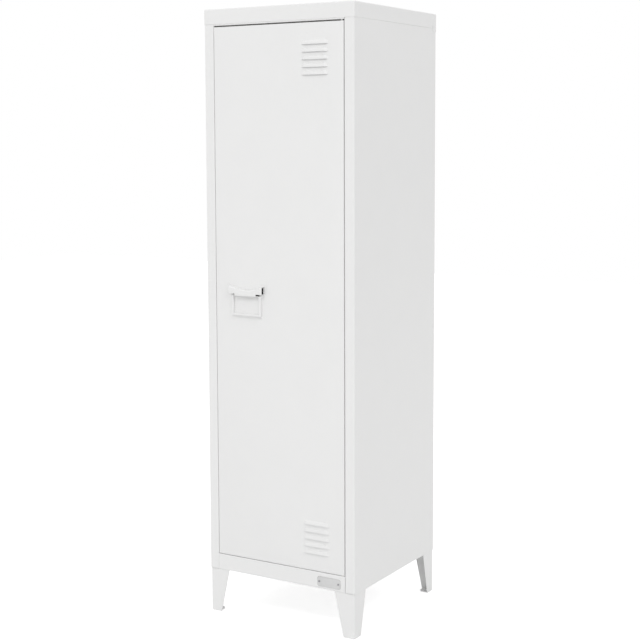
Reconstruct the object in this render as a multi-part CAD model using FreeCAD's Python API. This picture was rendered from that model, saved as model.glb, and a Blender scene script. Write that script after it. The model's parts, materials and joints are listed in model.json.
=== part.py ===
import FreeCAD, Part
import math
import os
from FreeCAD import Vector

# A tall sheet-steel locker: one louvred door in a folded body on four tapered angle legs.
# Millimetres. X runs to the right seen from the front, Y to the back, Z up from the floor.
# The origin lies on the floor, under the middle of the whole outline.

# Body
WIDTH = 380.0
DEPTH = 380.0
HEIGHT = 1360.0
LEG_HEIGHT = 100.0
SHEET = 0.8
FOLD = 2.2                # inside radius of the folds at the body's corners
CREASE = 0.8              # inside radius of the tight folds
POST_FACE = 24.0          # face of each post beside the door
STOP_LIP = 14.0           # how far the door stop reaches into the opening
REAR_FLANGE = 15.0
LID_SKIRT = 33.0
LID_TAB = 18.0            # rear tabs of the lid's skirt, measured from the back
LID_TAB_DROP = 8.0
LID_TAB_CORNER = 4.0
RELIEF_WIDTH = 1.6        # slot that frees a tab from the skirt
RELIEF_HEIGHT = 5.0
HEADER_DROP = 3.5         # edge of the lid's skirt to the underside of the header
HEADER_WEB = 26.0
HEADER_STOP = 14.0
RAIL_HEIGHT = 36.3        # bottom rail under the door
RAIL_LIP = 18.0
RAIL_FOOT = 12.0
RAIL_SEAM = 0.2           # open seam between rail and post
POST_SEAM = 0.8           # open seam under the front of a post
FLOOR_LIP = 24.0
FIT = 0.3                 # room between pieces that pass each other

# Door
DOOR_DEPTH = 18.0
DOOR_EDGE = 2.0           # outside radius round the front of the door
DOOR_LIP = 14.0
LATCH_GAP = 0.8
HINGE_GAP = 1.8
BOTTOM_GAP = 1.0
TOP_GAP = 2.9
STOP_GAP = 2.5            # back of the door to the stop lips
STIFFENER_WIDTH = 26.0
STIFFENER_DEPTH = 12.0
STIFFENER_BRIM = 12.0
STIFFENER_END = 30.0      # end of the door to the stiffener

# Louvres, in one group near each end of the door
LOUVRE_COUNT = 5
LOUVRE_WIDTH = 66.0
LOUVRE_HEIGHT = 8.0
LOUVRE_REACH = 2.6
LOUVRE_SWELL = 0.9        # how far the hood bulges out of a straight slope
LOUVRE_PITCH = 16.0
LOUVRE_SIDE = 37.3        # hinge edge of the door to the louvres
LOUVRE_END = 37.7         # end of the door to the nearest louvre

# Pull with label frame
PULL_SHEET = 1.2
PULL_SIDE = 44.7          # latch edge of the door to the frame
PULL_RISE = 8.0           # middle of the door to the foot of the hood's lip
PULL_REACH = 10.0
LIP_WIDTH = 88.0
LIP_HEIGHT = 18.5
LIP_DIP = 9.5             # how far the hood's roof dips in the middle
LIP_ROLL = 2.5            # outside radius from the lip into the roof
TAB_WIDTH = 56.0          # tab in the middle of the lip, over the label
TAB_DROP = 5.0
FRAME_WIDTH = 77.0
FRAME_HEIGHT = 49.5
FRAME_BAR = 5.5
FRAME_REACH = 6.0
BAR_NOTCH = 2.8           # lip to the upper ends of the side bars
GROOVE_WIDTH = 1.2        # groove that holds the label card
GROOVE_DEPTH = 2.0
PULL_RIVET_LENGTH = 4.5
FINGER_HOLE_SIDE = 2.0    # end of the lip to the finger hole behind it
FINGER_HOLE_FOOT = 0.5    # foot of the lip to the full width of the hole
FINGER_HOLE_TOP = 3.5     # hole to the top of the lip
FINGER_SLOT_WIDTH = 64.0  # lower part of the hole, behind the tab
FINGER_SLOT_DROP = 4.0    # foot of the lip to the lower end of that part

# Hinges
HINGE_INSET = 6.5         # hinge edge of the door to the pin axis
HINGE_SETBACK = 5.5       # front of the door to the pin axis
PIN_RADIUS = 2.0
PIN_HEAD = 3.2
PIN_HEAD_HEIGHT = 1.5
PIN_IN_BUSH = 6.0         # how far a pin reaches into its bush
RUNNING = 0.05            # clearance round a pin, a rivet or an inset block
BUSH_RADIUS = 3.0
BUSH_RIM = 1.2
BUSH_LENGTH = 9.0
WASHER_RADIUS = 4.5
WASHER_SLACK = 0.2
HINGE_PLATE = 2.5
HINGE_PLATE_LENGTH = 32.0
BRACKET_SHEET = 1.5
BRACKET_HEIGHT = 32.0
BRACKET_DEPTH = 10.0
BRACKET_EAR = 5.0         # pin axis to the free end of an ear
COLLAR_RADIUS = 3.6
COLLAR_HEIGHT = 1.5
SPRING_WIRE = 0.4         # radius of the wire
SPRING_ROOM = 0.25        # pin to the inside of the coil
SPRING_TURNS = 7
TAIL_REACH = 16.0         # bent tail that draws the top pin down
TAIL_DROP = 14.0          # bracket's underside to the tail

# Legs and feet
LEG_SHEET = 1.2
LEG_TOP = 50.0            # width of each flange at the top
LEG_FOOT = 28.0           # width of each flange at the floor
LEG_PLATE = 46.0
LEG_BEVEL = 12.0
LEG_TAB = 22.0
LEG_INSET = 1.4           # faces of the body to the faces of a leg
LEG_CLEARANCE = 1.0       # lower edge of the leg above the floor
LEG_SCREW = 38.0          # outer corner of the leg to its screws
PAD_SIZE = 21.0
PAD_HEIGHT = 4.0
PAD_CORNER = 4.0
PAD_RECESS = 2.4
PAD_SCREW_LENGTH = 5.0

# Shelves
UPRIGHT_WIDTH = 18.0
UPRIGHT_DEPTH = 8.0
UPRIGHT_FRONT = 24.0      # stop lip to the front uprights
UPRIGHT_REAR = 24.0       # back panel to the rear uprights
UPRIGHT_HEAD = 50.0       # header to the upper end
SLOT_WIDTH = 5.0
SLOT_HEIGHT = 9.0
SLOT_PITCH = 38.0
FIRST_SLOT = 20.7         # floor to the first slot
SHELF_STEP = 8            # slots from one shelf to the next
SHELF_COUNT = 3
SHELF_EDGE = 18.0
SHELF_LIP = 9.0
SHELF_PLAY = 1.0          # shelf to the uprights
SHELF_SETBACK = 20.0      # stop lip to the shelf
SHELF_REAR = 1.0          # ends of the back screws to the shelf
CLIP_SHEET = 1.5
CLIP_TONGUE = 13.0
CLIP_DROP = 18.0
CLIP_WIDTH = 10.0
CLIP_HOOK = 3.0

# Catch, buffers and nameplate
CATCH_WIDTH = 12.0
CATCH_DEPTH = 13.0
CATCH_HEIGHT = 50.0
CATCH_SCREWS = 38.0       # spacing of the catch's screws
MAGNET_WIDTH = 4.0
MAGNET_DEPTH = 9.0
MAGNET_HEIGHT = 24.0
POLE_SHEET = 1.4
STRIKE_SHEET = 1.0
STRIKE_WIDTH = 11.0
STRIKE_HEIGHT = 28.0
STRIKE_RIVETS = 20.0
STRIKE_GAP = 0.3
BUFFER_RADIUS = 4.5
BUFFER_END = 160.0        # end of the door to a buffer
NAMEPLATE_WIDTH = 58.0
NAMEPLATE_HEIGHT = 22.0
NAMEPLATE_SHEET = 1.0
NAMEPLATE_CORNER = 4.0
NAMEPLATE_SIDE = 11.5     # end of the rail to the nameplate
NAMEPLATE_RISE = 16.5     # bottom of the rail to the middle of the nameplate
NAMEPLATE_RIVETS = 48.0

# Fasteners and wall fixing
SCREW_RADIUS = 1.9
SCREW_HOLE = 2.1
SCREW_HEAD = 3.6
SCREW_HEAD_HEIGHT = 1.6
SCREW_LENGTH = 7.0
RECESS_WIDTH = 0.9
RECESS_DEPTH = 0.9
RIVET_RADIUS = 1.4
RIVET_HEAD = 2.4
RIVET_HEAD_HEIGHT = 1.0
RIVET_CROWN = 0.7         # rounding of a rivet's head
BACK_SCREWS = 5           # along each rear flange
BACK_SCREW_END = 60.0     # end of the flange to the first screw
RAIL_SCREWS = 3
RAIL_SCREW_SPACING = 84.0
RAIL_SCREW_DROP = 11.0    # top of the rail to its screws
WALL_HOLE = 3.0
WALL_SPACING = 240.0
WALL_DROP = 30.0          # edge of the lid's skirt to the wall holes

PAST = 1.0                # how far a cutting tool runs past a face

# Faces of the body
LEFT = -WIDTH / 2
RIGHT = WIDTH / 2
REAR_REACH = SHEET + SCREW_HEAD_HEIGHT
FRONT = -(DEPTH + REAR_REACH - PULL_REACH) / 2
BACK = FRONT + DEPTH
INNER_BACK = BACK - 2 * SHEET
LID_BOTTOM = HEIGHT - LID_SKIRT
PANEL_TOP = HEIGHT - SHEET - FOLD - FIT

# Edges of the opening and of the door
OPEN_LEFT = LEFT + POST_FACE
OPEN_RIGHT = RIGHT - POST_FACE
OPEN_BOTTOM = LEG_HEIGHT + RAIL_HEIGHT
OPEN_TOP = LID_BOTTOM - HEADER_DROP
DOOR_LEFT = OPEN_LEFT + LATCH_GAP
DOOR_RIGHT = OPEN_RIGHT - HINGE_GAP
DOOR_BOTTOM = OPEN_BOTTOM + BOTTOM_GAP
DOOR_TOP = OPEN_TOP - TOP_GAP
DOOR_BACK = FRONT + DOOR_DEPTH
DOOR_MIDDLE = (DOOR_BOTTOM + DOOR_TOP) / 2
STOP_FACE = DOOR_BACK + STOP_GAP
STOP_BACK = STOP_FACE + SHEET
RAIL_BACK = STOP_FACE - SHEET
RAIL_LEFT = OPEN_LEFT + RAIL_SEAM
RAIL_RIGHT = OPEN_RIGHT - RAIL_SEAM

# Hinge axis and the top hinge's levels
HINGE_X = DOOR_RIGHT - HINGE_INSET
HINGE_Y = FRONT + HINGE_SETBACK
BUSH_FLANGE = HINGE_SETBACK - DOOR_EDGE - RUNNING
BRACKET_TOP = DOOR_TOP - SHEET
BRACKET_BOTTOM = BRACKET_TOP - BRACKET_HEIGHT
SPRING_FOOT = BRACKET_BOTTOM + BRACKET_SHEET
COLLAR_TOP = BRACKET_TOP - BRACKET_SHEET - RUNNING
SPRING_HEAD = COLLAR_TOP - COLLAR_HEIGHT

# Pull
PULL_X = DOOR_LEFT + PULL_SIDE + FRAME_WIDTH / 2
LIP_FOOT = DOOR_MIDDLE + PULL_RISE
LIP_TOP = LIP_FOOT + LIP_HEIGHT
FRAME_BOTTOM = LIP_FOOT - FRAME_HEIGHT

# Uprights and shelves
WEB = RIGHT - SHEET - UPRIGHT_DEPTH
SHELF_HALF = WEB - SHELF_PLAY
SHELF_BACK = BACK - SCREW_LENGTH - SHELF_REAR
UPRIGHT_TOP = OPEN_TOP - UPRIGHT_HEAD
UPRIGHT_MIDDLES = {
    "front": STOP_BACK + UPRIGHT_FRONT + UPRIGHT_WIDTH / 2,
    "rear": INNER_BACK - UPRIGHT_REAR - UPRIGHT_WIDTH / 2,
}
SLOT_COUNT = int((UPRIGHT_TOP - OPEN_BOTTOM - FIRST_SLOT) // SLOT_PITCH)
SLOTS = [OPEN_BOTTOM + FIRST_SLOT + SLOT_PITCH * i for i in range(SLOT_COUNT)]
SHELF_SLOTS = SLOTS[SHELF_STEP - 1::SHELF_STEP][:SHELF_COUNT]

# Catch and nameplate
CATCH_X = OPEN_LEFT + STOP_LIP / 2
CATCH_Z = DOOR_MIDDLE
STRIKE_X = DOOR_LEFT + DOOR_LIP / 2
POLE_FRONT = DOOR_BACK + STRIKE_SHEET + STRIKE_GAP
NAMEPLATE_X = RAIL_RIGHT - NAMEPLATE_SIDE - NAMEPLATE_WIDTH / 2
NAMEPLATE_Z = LEG_HEIGHT + NAMEPLATE_RISE

INWARD = Vector(0, -1, 0)
TO_BACK = Vector(0, 1, 0)
UP = Vector(0, 0, 1)


# Plain solids

def block(x0, x1, y0, y1, z0, z1):
    """Box between two corners, given as ranges along X, Y and Z."""
    return Part.makeBox(x1 - x0, y1 - y0, z1 - z0, Vector(x0, y0, z0))


def rod(radius, start, end):
    """Round bar between two points."""
    run = end - start
    return Part.makeCylinder(radius, run.Length, start, run)


def upright_rod(radius, z0, z1, x=HINGE_X, y=HINGE_Y):
    """Round bar along Z, on the hinge axis unless another place is given."""
    return rod(radius, Vector(x, y, z0), Vector(x, y, z1))


def joined(first, *others):
    """One solid out of several that touch or overlap."""
    return first.fuse(list(others)).removeSplitter()


def other_side(shape):
    """Mirror image on the other side of the locker."""
    return shape.mirror(Vector(0, 0, 0), Vector(1, 0, 0))


def rear_end(shape):
    """Mirror image at the other end of the body, front to back."""
    return shape.mirror(Vector(0, (FRONT + BACK) / 2, 0), TO_BACK)


# Rounded edges

def near(a, b):
    return abs(a - b) < 1e-6


def runs_along(axis):
    """Test for the straight edges along one axis."""
    def test(edge):
        run = edge.lastVertex().Point - edge.firstVertex().Point
        return run.Length > 0 and near(abs(getattr(run, axis)), run.Length)
    return test


def lies_at(axis, value):
    """Test for the edges that lie in the plane axis = value."""
    return lambda edge: all(near(getattr(vertex.Point, axis), value) for vertex in edge.Vertexes)


def is_long(length):
    """Test for the edges of one length."""
    return lambda edge: near(edge.Length, length)


def is_curved(edge):
    """Test for the edges that are no straight line."""
    return not isinstance(edge.Curve, Part.Line)


def both(first, second):
    """Test for the edges that pass two tests."""
    return lambda edge: first(edge) and second(edge)


def rounded(shape, radius, *tests):
    """The shape with a fillet on each edge that passes one of the tests."""
    edges = [edge for edge in shape.Edges if any(test(edge) for test in tests)]
    return shape.makeFillet(radius, edges)


# Sheet metal

def plan(z):
    """Places the points (x, y) of an outline at one height."""
    return lambda x, y: Vector(x, y, z)


def section(x):
    """Places the points (y, z) of an outline in a plane across X."""
    return lambda y, z: Vector(x, y, z)


def elevation(y):
    """Places the points (x, z) of an outline in a plane across Y."""
    return lambda x, z: Vector(x, y, z)


def polygon(points, place):
    """Flat face with straight sides."""
    corners = [place(*point) for point in points]
    return Part.Face(Part.makePolygon(corners + corners[:1]))


def folded_sheet(path, place, run, thickness=SHEET, radius=CREASE):
    """Sheet bent along its middle line and drawn out along run.

    A point of the path may carry its own inside fold radius as a third number.
    """
    points = [Vector(u, v, 0) for u, v, *_ in path]
    radii = [rest[0] if rest else radius for _, _, *rest in path]
    heads = [(b - a).normalize() for a, b in zip(points, points[1:])]
    lefts = [Vector(-head.y, head.x, 0) for head in heads]
    outline = []

    def draw(curve, *knots):
        outline.append(curve(*[place(knot.x, knot.y) for knot in knots]).toShape())

    for side in (thickness / 2, -thickness / 2):
        start = points[0] + lefts[0] * side
        for i in range(1, len(heads)):
            bend = math.copysign(1, heads[i - 1].cross(heads[i]).z)
            middle = radii[i] + thickness / 2
            trim = middle * math.tan(heads[i - 1].getAngle(heads[i]) / 2)
            entry = points[i] - heads[i - 1] * trim
            centre = entry + lefts[i - 1] * (bend * middle)
            crown = centre + (points[i] - centre).normalize() * (middle - side * bend)
            leave = points[i] + heads[i] * trim + lefts[i] * side
            draw(Part.LineSegment, start, entry + lefts[i - 1] * side)
            draw(Part.Arc, entry + lefts[i - 1] * side, crown, leave)
            start = leave
        draw(Part.LineSegment, start, points[-1] + lefts[-1] * side)
    half = thickness / 2
    for point, left in ((points[0], lefts[0]), (points[-1], lefts[-1])):
        draw(Part.LineSegment, point + left * half, point - left * half)
    return Part.Face(Part.Wire(Part.__sortEdges__(outline))).extrude(run)


def tray(x0, x1, y0, y1, z0, z1, lip, corner):
    """Sheet tray, closed at the top, whose skirts end in lips turned inward."""
    outside = rounded(block(x0, x1, y0, y1, z0, z1), corner, runs_along("z"))
    hollow = block(x0 + SHEET, x1 - SHEET, y0 + SHEET, y1 - SHEET, z0 + SHEET, z1 - SHEET)
    hollow = rounded(hollow, corner - SHEET, runs_along("z"))
    mouth = block(x0 + lip, x1 - lip, y0 + lip, y1 - lip, z0 - PAST, z0 + SHEET + PAST)
    return outside.cut([hollow, mouth])


# Fasteners

def aimed(shape, seat, along):
    """The shape, modelled along Z from the origin, set on its seat and turned along a direction."""
    shape.Placement = FreeCAD.Placement(seat, FreeCAD.Rotation(UP, along))
    return shape


def round_head(radius, height, rounding):
    """Head with a rounded rim, under the plane z = 0."""
    head = Part.makeCylinder(radius, height, Vector(0, 0, -height))
    return rounded(head, rounding, lies_at("z", -height))


def screw(seat, along, length=SCREW_LENGTH):
    """Pan-head screw with its head on the seat and its shank pointing along."""
    head = round_head(SCREW_HEAD, SCREW_HEAD_HEIGHT, SCREW_HEAD_HEIGHT / 2)
    arm, half = SCREW_HEAD / 2, RECESS_WIDTH / 2
    z0, z1 = -SCREW_HEAD_HEIGHT - PAST, -SCREW_HEAD_HEIGHT + RECESS_DEPTH
    cross = [block(-arm, arm, -half, half, z0, z1), block(-half, half, -arm, arm, z0, z1)]
    return aimed(joined(head, Part.makeCylinder(SCREW_RADIUS, length)).cut(cross), seat, along)


def rivet(seat, along, length):
    """Rivet with a low round head on the seat."""
    head = round_head(RIVET_HEAD, RIVET_HEAD_HEIGHT, RIVET_CROWN)
    return aimed(joined(head, Part.makeCylinder(RIVET_RADIUS, length)), seat, along)


def hole(seat, along, length=SCREW_LENGTH, radius=SCREW_HOLE):
    """Round cutter along a fastener, running past both ends of its shank."""
    return rod(radius, seat - along * PAST, seat + along * (length + PAST))


def rivet_hole(seat, along, length):
    """Cutter for the hole that a rivet fills."""
    return hole(seat, along, length, RIVET_RADIUS + RUNNING)


def group(make, seats, *how):
    """Like fasteners on several seats, as one group of separate solids."""
    return Part.makeCompound([make(seat, *how) for seat in seats])


# Seats of the fasteners

def spread(low, high, count):
    """Evenly spaced values from low to high."""
    return [low + (high - low) * i / (count - 1) for i in range(count)]


def pair(middle, spacing):
    """Two values on either side of a middle."""
    return middle - spacing / 2, middle + spacing / 2


FLANGE_LINE = LEFT + (SHEET + FOLD + REAR_FLANGE) / 2
FLANGE_LINES = (FLANGE_LINE, -FLANGE_LINE)
BACK_SCREW_ROWS = spread(LEG_HEIGHT + BACK_SCREW_END, LID_BOTTOM - BACK_SCREW_END, BACK_SCREWS)
BACK_SEATS = [Vector(x, BACK, z) for x in FLANGE_LINES for z in BACK_SCREW_ROWS]
LID_SEATS = [Vector(x, BACK + SHEET, LID_BOTTOM + LID_SKIRT / 2) for x in FLANGE_LINES]
REAR_HOLES = [hole(seat, INWARD) for seat in BACK_SEATS + LID_SEATS]

RAIL_SCREW_REACH = RAIL_SCREW_SPACING * (RAIL_SCREWS - 1) / 2
RAIL_SEATS = [
    Vector(x, RAIL_BACK + SHEET, OPEN_BOTTOM - RAIL_SCREW_DROP)
    for x in spread(-RAIL_SCREW_REACH, RAIL_SCREW_REACH, RAIL_SCREWS)
]
RAIL_HOLES = [hole(seat, INWARD) for seat in RAIL_SEATS]

LEG_SEATS = [
    Vector(side * x, y, LEG_HEIGHT - LEG_SHEET)
    for side in (-1, 1)
    for x, y in (
        (RIGHT - SHEET - FLOOR_LIP / 2, FRONT + LEG_SCREW),
        (RIGHT - SHEET - FLOOR_LIP / 2, BACK - LEG_SCREW),
        (RIGHT - LEG_SCREW, RAIL_BACK + FLOOR_LIP / 2),
        (RIGHT - LEG_SCREW, INNER_BACK - FLOOR_LIP / 2),
    )
]
LEG_HOLES = [hole(seat, UP) for seat in LEG_SEATS]

PAD_INSET = LEG_INSET + LEG_SHEET + FIT + PAD_SIZE / 2
PAD_SEATS = [
    Vector(x, y, PAD_RECESS)
    for x in (LEFT + PAD_INSET, RIGHT - PAD_INSET)
    for y in (FRONT + PAD_INSET, BACK - PAD_INSET)
]
PAD_HOLES = [hole(seat, UP, PAD_SCREW_LENGTH) for seat in PAD_SEATS]

CATCH_SEATS = [Vector(CATCH_X, STOP_FACE, z) for z in pair(CATCH_Z, CATCH_SCREWS)]
CATCH_HOLES = [hole(seat, TO_BACK) for seat in CATCH_SEATS]

STRIKE_RIVET_LENGTH = SHEET + STRIKE_SHEET
STRIKE_SEATS = [Vector(STRIKE_X, DOOR_BACK - SHEET, z) for z in pair(CATCH_Z, STRIKE_RIVETS)]
STRIKE_HOLES = [rivet_hole(seat, TO_BACK, STRIKE_RIVET_LENGTH) for seat in STRIKE_SEATS]

PULL_SEATS = [
    Vector(x, FRONT + SHEET, FRAME_BOTTOM + FRAME_HEIGHT / 2)
    for x in pair(PULL_X, FRAME_WIDTH - FRAME_BAR)
]
PULL_HOLES = [rivet_hole(seat, INWARD, PULL_RIVET_LENGTH - PAST + RUNNING) for seat in PULL_SEATS]

NAMEPLATE_RIVET_LENGTH = NAMEPLATE_SHEET + SHEET + RIVET_HEAD_HEIGHT
NAMEPLATE_SEATS = [
    Vector(x, FRONT - NAMEPLATE_SHEET, NAMEPLATE_Z) for x in pair(NAMEPLATE_X, NAMEPLATE_RIVETS)
]
NAMEPLATE_HOLES = [rivet_hole(seat, TO_BACK, NAMEPLATE_RIVET_LENGTH) for seat in NAMEPLATE_SEATS]


# Body of the locker

def side_panel():
    """Left side: one sheet folded into the rear flange, the front post, the jamb and the door stop."""
    half = SHEET / 2
    path = [
        (LEFT + REAR_FLANGE, BACK - half),
        (LEFT + half, BACK - half, FOLD),
        (LEFT + half, FRONT + half, FOLD),
        (OPEN_LEFT - half, FRONT + half),
        (OPEN_LEFT - half, STOP_FACE + half),
        (OPEN_LEFT + STOP_LIP, STOP_FACE + half),
    ]
    sheet = folded_sheet(path, plan(LEG_HEIGHT), UP * (PANEL_TOP - LEG_HEIGHT))
    floor_notch = block(
        OPEN_LEFT - SHEET - PAST, OPEN_LEFT + STOP_LIP + PAST,
        RAIL_BACK - FIT, STOP_BACK + PAST,
        LEG_HEIGHT - PAST, OPEN_BOTTOM + FIT,
    )
    post_seam = block(
        LEFT - PAST, OPEN_LEFT + PAST,
        FRONT - PAST, FRONT + SHEET + CREASE,
        LEG_HEIGHT - PAST, LEG_HEIGHT + POST_SEAM,
    )
    return sheet.cut([floor_notch, post_seam] + REAR_HOLES)


def left_side_panel():
    """Side panel on the latch side, with a window for the catch in its stop lip."""
    half_width = MAGNET_WIDTH / 2 + POLE_SHEET + FIT
    half_height = MAGNET_HEIGHT / 2 + FIT
    window = block(
        CATCH_X - half_width, CATCH_X + half_width,
        STOP_FACE - PAST, STOP_BACK + PAST,
        CATCH_Z - half_height, CATCH_Z + half_height,
    )
    return side_panel().cut([window] + CATCH_HOLES)


def back_panel():
    """Flat sheet inside the rear flanges, with two holes for fixing the locker to a wall."""
    side = LEFT + SHEET + FOLD
    sheet = block(side, -side, INNER_BACK, INNER_BACK + SHEET, LEG_HEIGHT, PANEL_TOP)
    wall_holes = [
        hole(Vector(x, BACK, LID_BOTTOM - WALL_DROP), INWARD, radius=WALL_HOLE) for x in pair(0, WALL_SPACING)
    ]
    return sheet.cut(REAR_HOLES + wall_holes)


def lid():
    """Pressed lid whose skirt fits over the outside of the body, with a lower tab at each rear corner."""
    foot = LID_BOTTOM - LID_TAB_DROP
    outside = block(LEFT - SHEET, RIGHT + SHEET, FRONT - SHEET, BACK + SHEET, foot, HEIGHT)
    outside = rounded(outside, FOLD + SHEET, runs_along("z"), lies_at("z", HEIGHT))
    inside = block(LEFT, RIGHT, FRONT, BACK, foot - PAST, HEIGHT - SHEET)
    inside = rounded(inside, FOLD, runs_along("z"), lies_at("z", HEIGHT - SHEET))
    x0, x1 = LEFT - SHEET - PAST, RIGHT + SHEET + PAST
    tab_front = BACK + SHEET - LID_TAB
    tab_side = RIGHT + SHEET - LID_TAB
    under_skirt = block(x0, x1, FRONT - SHEET - PAST, tab_front, foot - PAST, LID_BOTTOM)
    between_tabs = block(-tab_side, tab_side, BACK - PAST, BACK + SHEET + PAST, foot - PAST, LID_BOTTOM)
    relief = block(x0, x1, tab_front - RELIEF_WIDTH, tab_front, LID_BOTTOM - PAST, LID_BOTTOM + RELIEF_HEIGHT)
    pressing = outside.cut([inside, under_skirt, between_tabs, relief] + REAR_HOLES)
    return rounded(pressing, LID_TAB_CORNER, both(lies_at("z", foot), is_long(SHEET)))


def header():
    """Channel above the door: it stiffens the lid, holds the top bush and stops the door."""
    half = SHEET / 2
    path = [
        (FRONT + half, OPEN_TOP + HEADER_WEB),
        (FRONT + half, OPEN_TOP + half),
        (STOP_FACE + half, OPEN_TOP + half),
        (STOP_FACE + half, OPEN_TOP - HEADER_STOP),
    ]
    channel = folded_sheet(path, section(RAIL_LEFT), Vector(RAIL_RIGHT - RAIL_LEFT, 0, 0))
    end = block(
        OPEN_LEFT, OPEN_LEFT + STOP_LIP + FIT,
        STOP_FACE - FIT, STOP_BACK + PAST,
        OPEN_TOP - HEADER_STOP - PAST, OPEN_TOP + HEADER_WEB,
    )
    bush_hole = upright_rod(BUSH_RADIUS + RUNNING, OPEN_TOP - PAST, OPEN_TOP + SHEET + CREASE)
    return channel.cut([end, other_side(end), bush_hole])


def bottom_rail():
    """Channel under the door, between the posts."""
    half = SHEET / 2
    path = [
        (FRONT + RAIL_FOOT, LEG_HEIGHT + half),
        (FRONT + half, LEG_HEIGHT + half),
        (FRONT + half, OPEN_BOTTOM - half),
        (RAIL_BACK - half, OPEN_BOTTOM - half),
        (RAIL_BACK - half, OPEN_BOTTOM - RAIL_LIP),
    ]
    channel = folded_sheet(path, section(RAIL_LEFT), Vector(RAIL_RIGHT - RAIL_LEFT, 0, 0))
    pin_hole = upright_rod(PIN_RADIUS + RUNNING, OPEN_BOTTOM - SHEET - PAST, OPEN_BOTTOM + PAST)
    return channel.cut([pin_hole] + RAIL_HOLES + NAMEPLATE_HOLES)


def floor_tray():
    """Floor of the locker: a tray turned upside down, whose lower lips carry the legs."""
    floor = tray(
        LEFT + SHEET, RIGHT - SHEET, RAIL_BACK, INNER_BACK, LEG_HEIGHT, OPEN_BOTTOM, FLOOR_LIP, FOLD + SHEET
    )
    return floor.cut(RAIL_HOLES + LEG_HOLES)


# Legs and feet, modelled in the front left corner

LEG_LEFT = LEFT + LEG_INSET
LEG_FRONT = FRONT + LEG_INSET


def corner_plate(size, bevel, z):
    """Level plate in the corner of a leg, with its free corner cut off."""
    x0, y0 = LEG_LEFT + LEG_SHEET, LEG_FRONT + LEG_SHEET
    x1, y1 = LEG_LEFT + size, LEG_FRONT + size
    points = [(x0, y0), (x1, y0), (x1, y1 - bevel), (x1 - bevel, y1), (x0, y1)]
    return polygon(points, plan(z)).extrude(UP * LEG_SHEET)


def leg():
    """Angle leg whose flanges taper towards the floor, with a plate at the top and a tab over the pad."""
    half = LEG_SHEET / 2
    path = [
        (LEG_LEFT + LEG_TOP, LEG_FRONT + half),
        (LEG_LEFT + half, LEG_FRONT + half),
        (LEG_LEFT + half, LEG_FRONT + LEG_TOP),
    ]
    rise = UP * (LEG_HEIGHT - LEG_CLEARANCE)
    angle = folded_sheet(path, plan(LEG_CLEARANCE), rise, LEG_SHEET, FOLD + SHEET - LEG_SHEET)
    taper = [
        (LEG_FOOT, LEG_CLEARANCE),
        (LEG_TOP, LEG_HEIGHT),
        (LEG_TOP + PAST, LEG_HEIGHT),
        (LEG_TOP + PAST, LEG_CLEARANCE),
    ]
    front_taper = polygon([(LEG_LEFT + across, z) for across, z in taper], elevation(FRONT))
    side_taper = polygon([(LEG_FRONT + across, z) for across, z in taper], section(LEFT))
    angle = angle.cut([front_taper.extrude(TO_BACK * LEG_TOP), side_taper.extrude(Vector(LEG_TOP, 0, 0))])
    top_plate = corner_plate(LEG_PLATE, LEG_BEVEL, LEG_HEIGHT - LEG_SHEET)
    tab = corner_plate(LEG_TAB, LEG_BEVEL, PAD_HEIGHT)
    return joined(angle, top_plate, tab)


def foot_pad():
    """Plastic pad under the tab of a leg, with a recess for its screw."""
    x0, y0 = LEG_LEFT + LEG_SHEET + FIT, LEG_FRONT + LEG_SHEET + FIT
    pad = rounded(block(x0, x0 + PAD_SIZE, y0, y0 + PAD_SIZE, 0, PAD_HEIGHT), PAD_CORNER, runs_along("z"))
    recess = upright_rod(SCREW_HEAD + FIT, -PAST, PAD_RECESS, LEFT + PAD_INSET, FRONT + PAD_INSET)
    return pad.cut(recess)


def in_each_corner(name, shape, holes):
    """The piece of the front left corner in all four corners, with its holes."""
    rear = rear_end(shape)
    corners = {
        "front_left": shape,
        "front_right": other_side(shape),
        "rear_left": rear,
        "rear_right": other_side(rear),
    }
    return {f"{name}_{corner}": copy.cut(holes) for corner, copy in corners.items()}


# Door

def louvre_form(reach, height, width):
    """Form of one louvre with round ends: its straight stretch starts at x = 0, its lower edge is z = 0."""
    top, lip, foot = Vector(0, 0, height), Vector(0, -reach, 0), Vector(0, 0, 0)
    outward = Vector(0, -height, reach).normalize()
    outline = [
        Part.Arc(top, (top + lip) / 2 + outward * LOUVRE_SWELL, lip).toShape(),
        Part.makeLine(lip, foot),
        Part.makeLine(foot, top),
    ]
    face = Part.Face(Part.Wire(outline))
    length = width - 2 * reach
    left_end = face.revolve(Vector(0, 0, 0), UP, -90)
    right_end = face.revolve(Vector(0, 0, 0), UP, 90)
    right_end.translate(Vector(length, 0, 0))
    return joined(face.extrude(Vector(length, 0, 0)), left_end, right_end)


def louvre_places():
    """Lower left point of each louvre's straight stretch, on the front of the door."""
    x = DOOR_RIGHT - LOUVRE_SIDE - LOUVRE_WIDTH + LOUVRE_REACH
    lowest = (
        DOOR_BOTTOM + LOUVRE_END,
        DOOR_TOP - LOUVRE_END - LOUVRE_HEIGHT - LOUVRE_PITCH * (LOUVRE_COUNT - 1),
    )
    return [Vector(x, FRONT, z + LOUVRE_PITCH * i) for z in lowest for i in range(LOUVRE_COUNT)]


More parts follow.
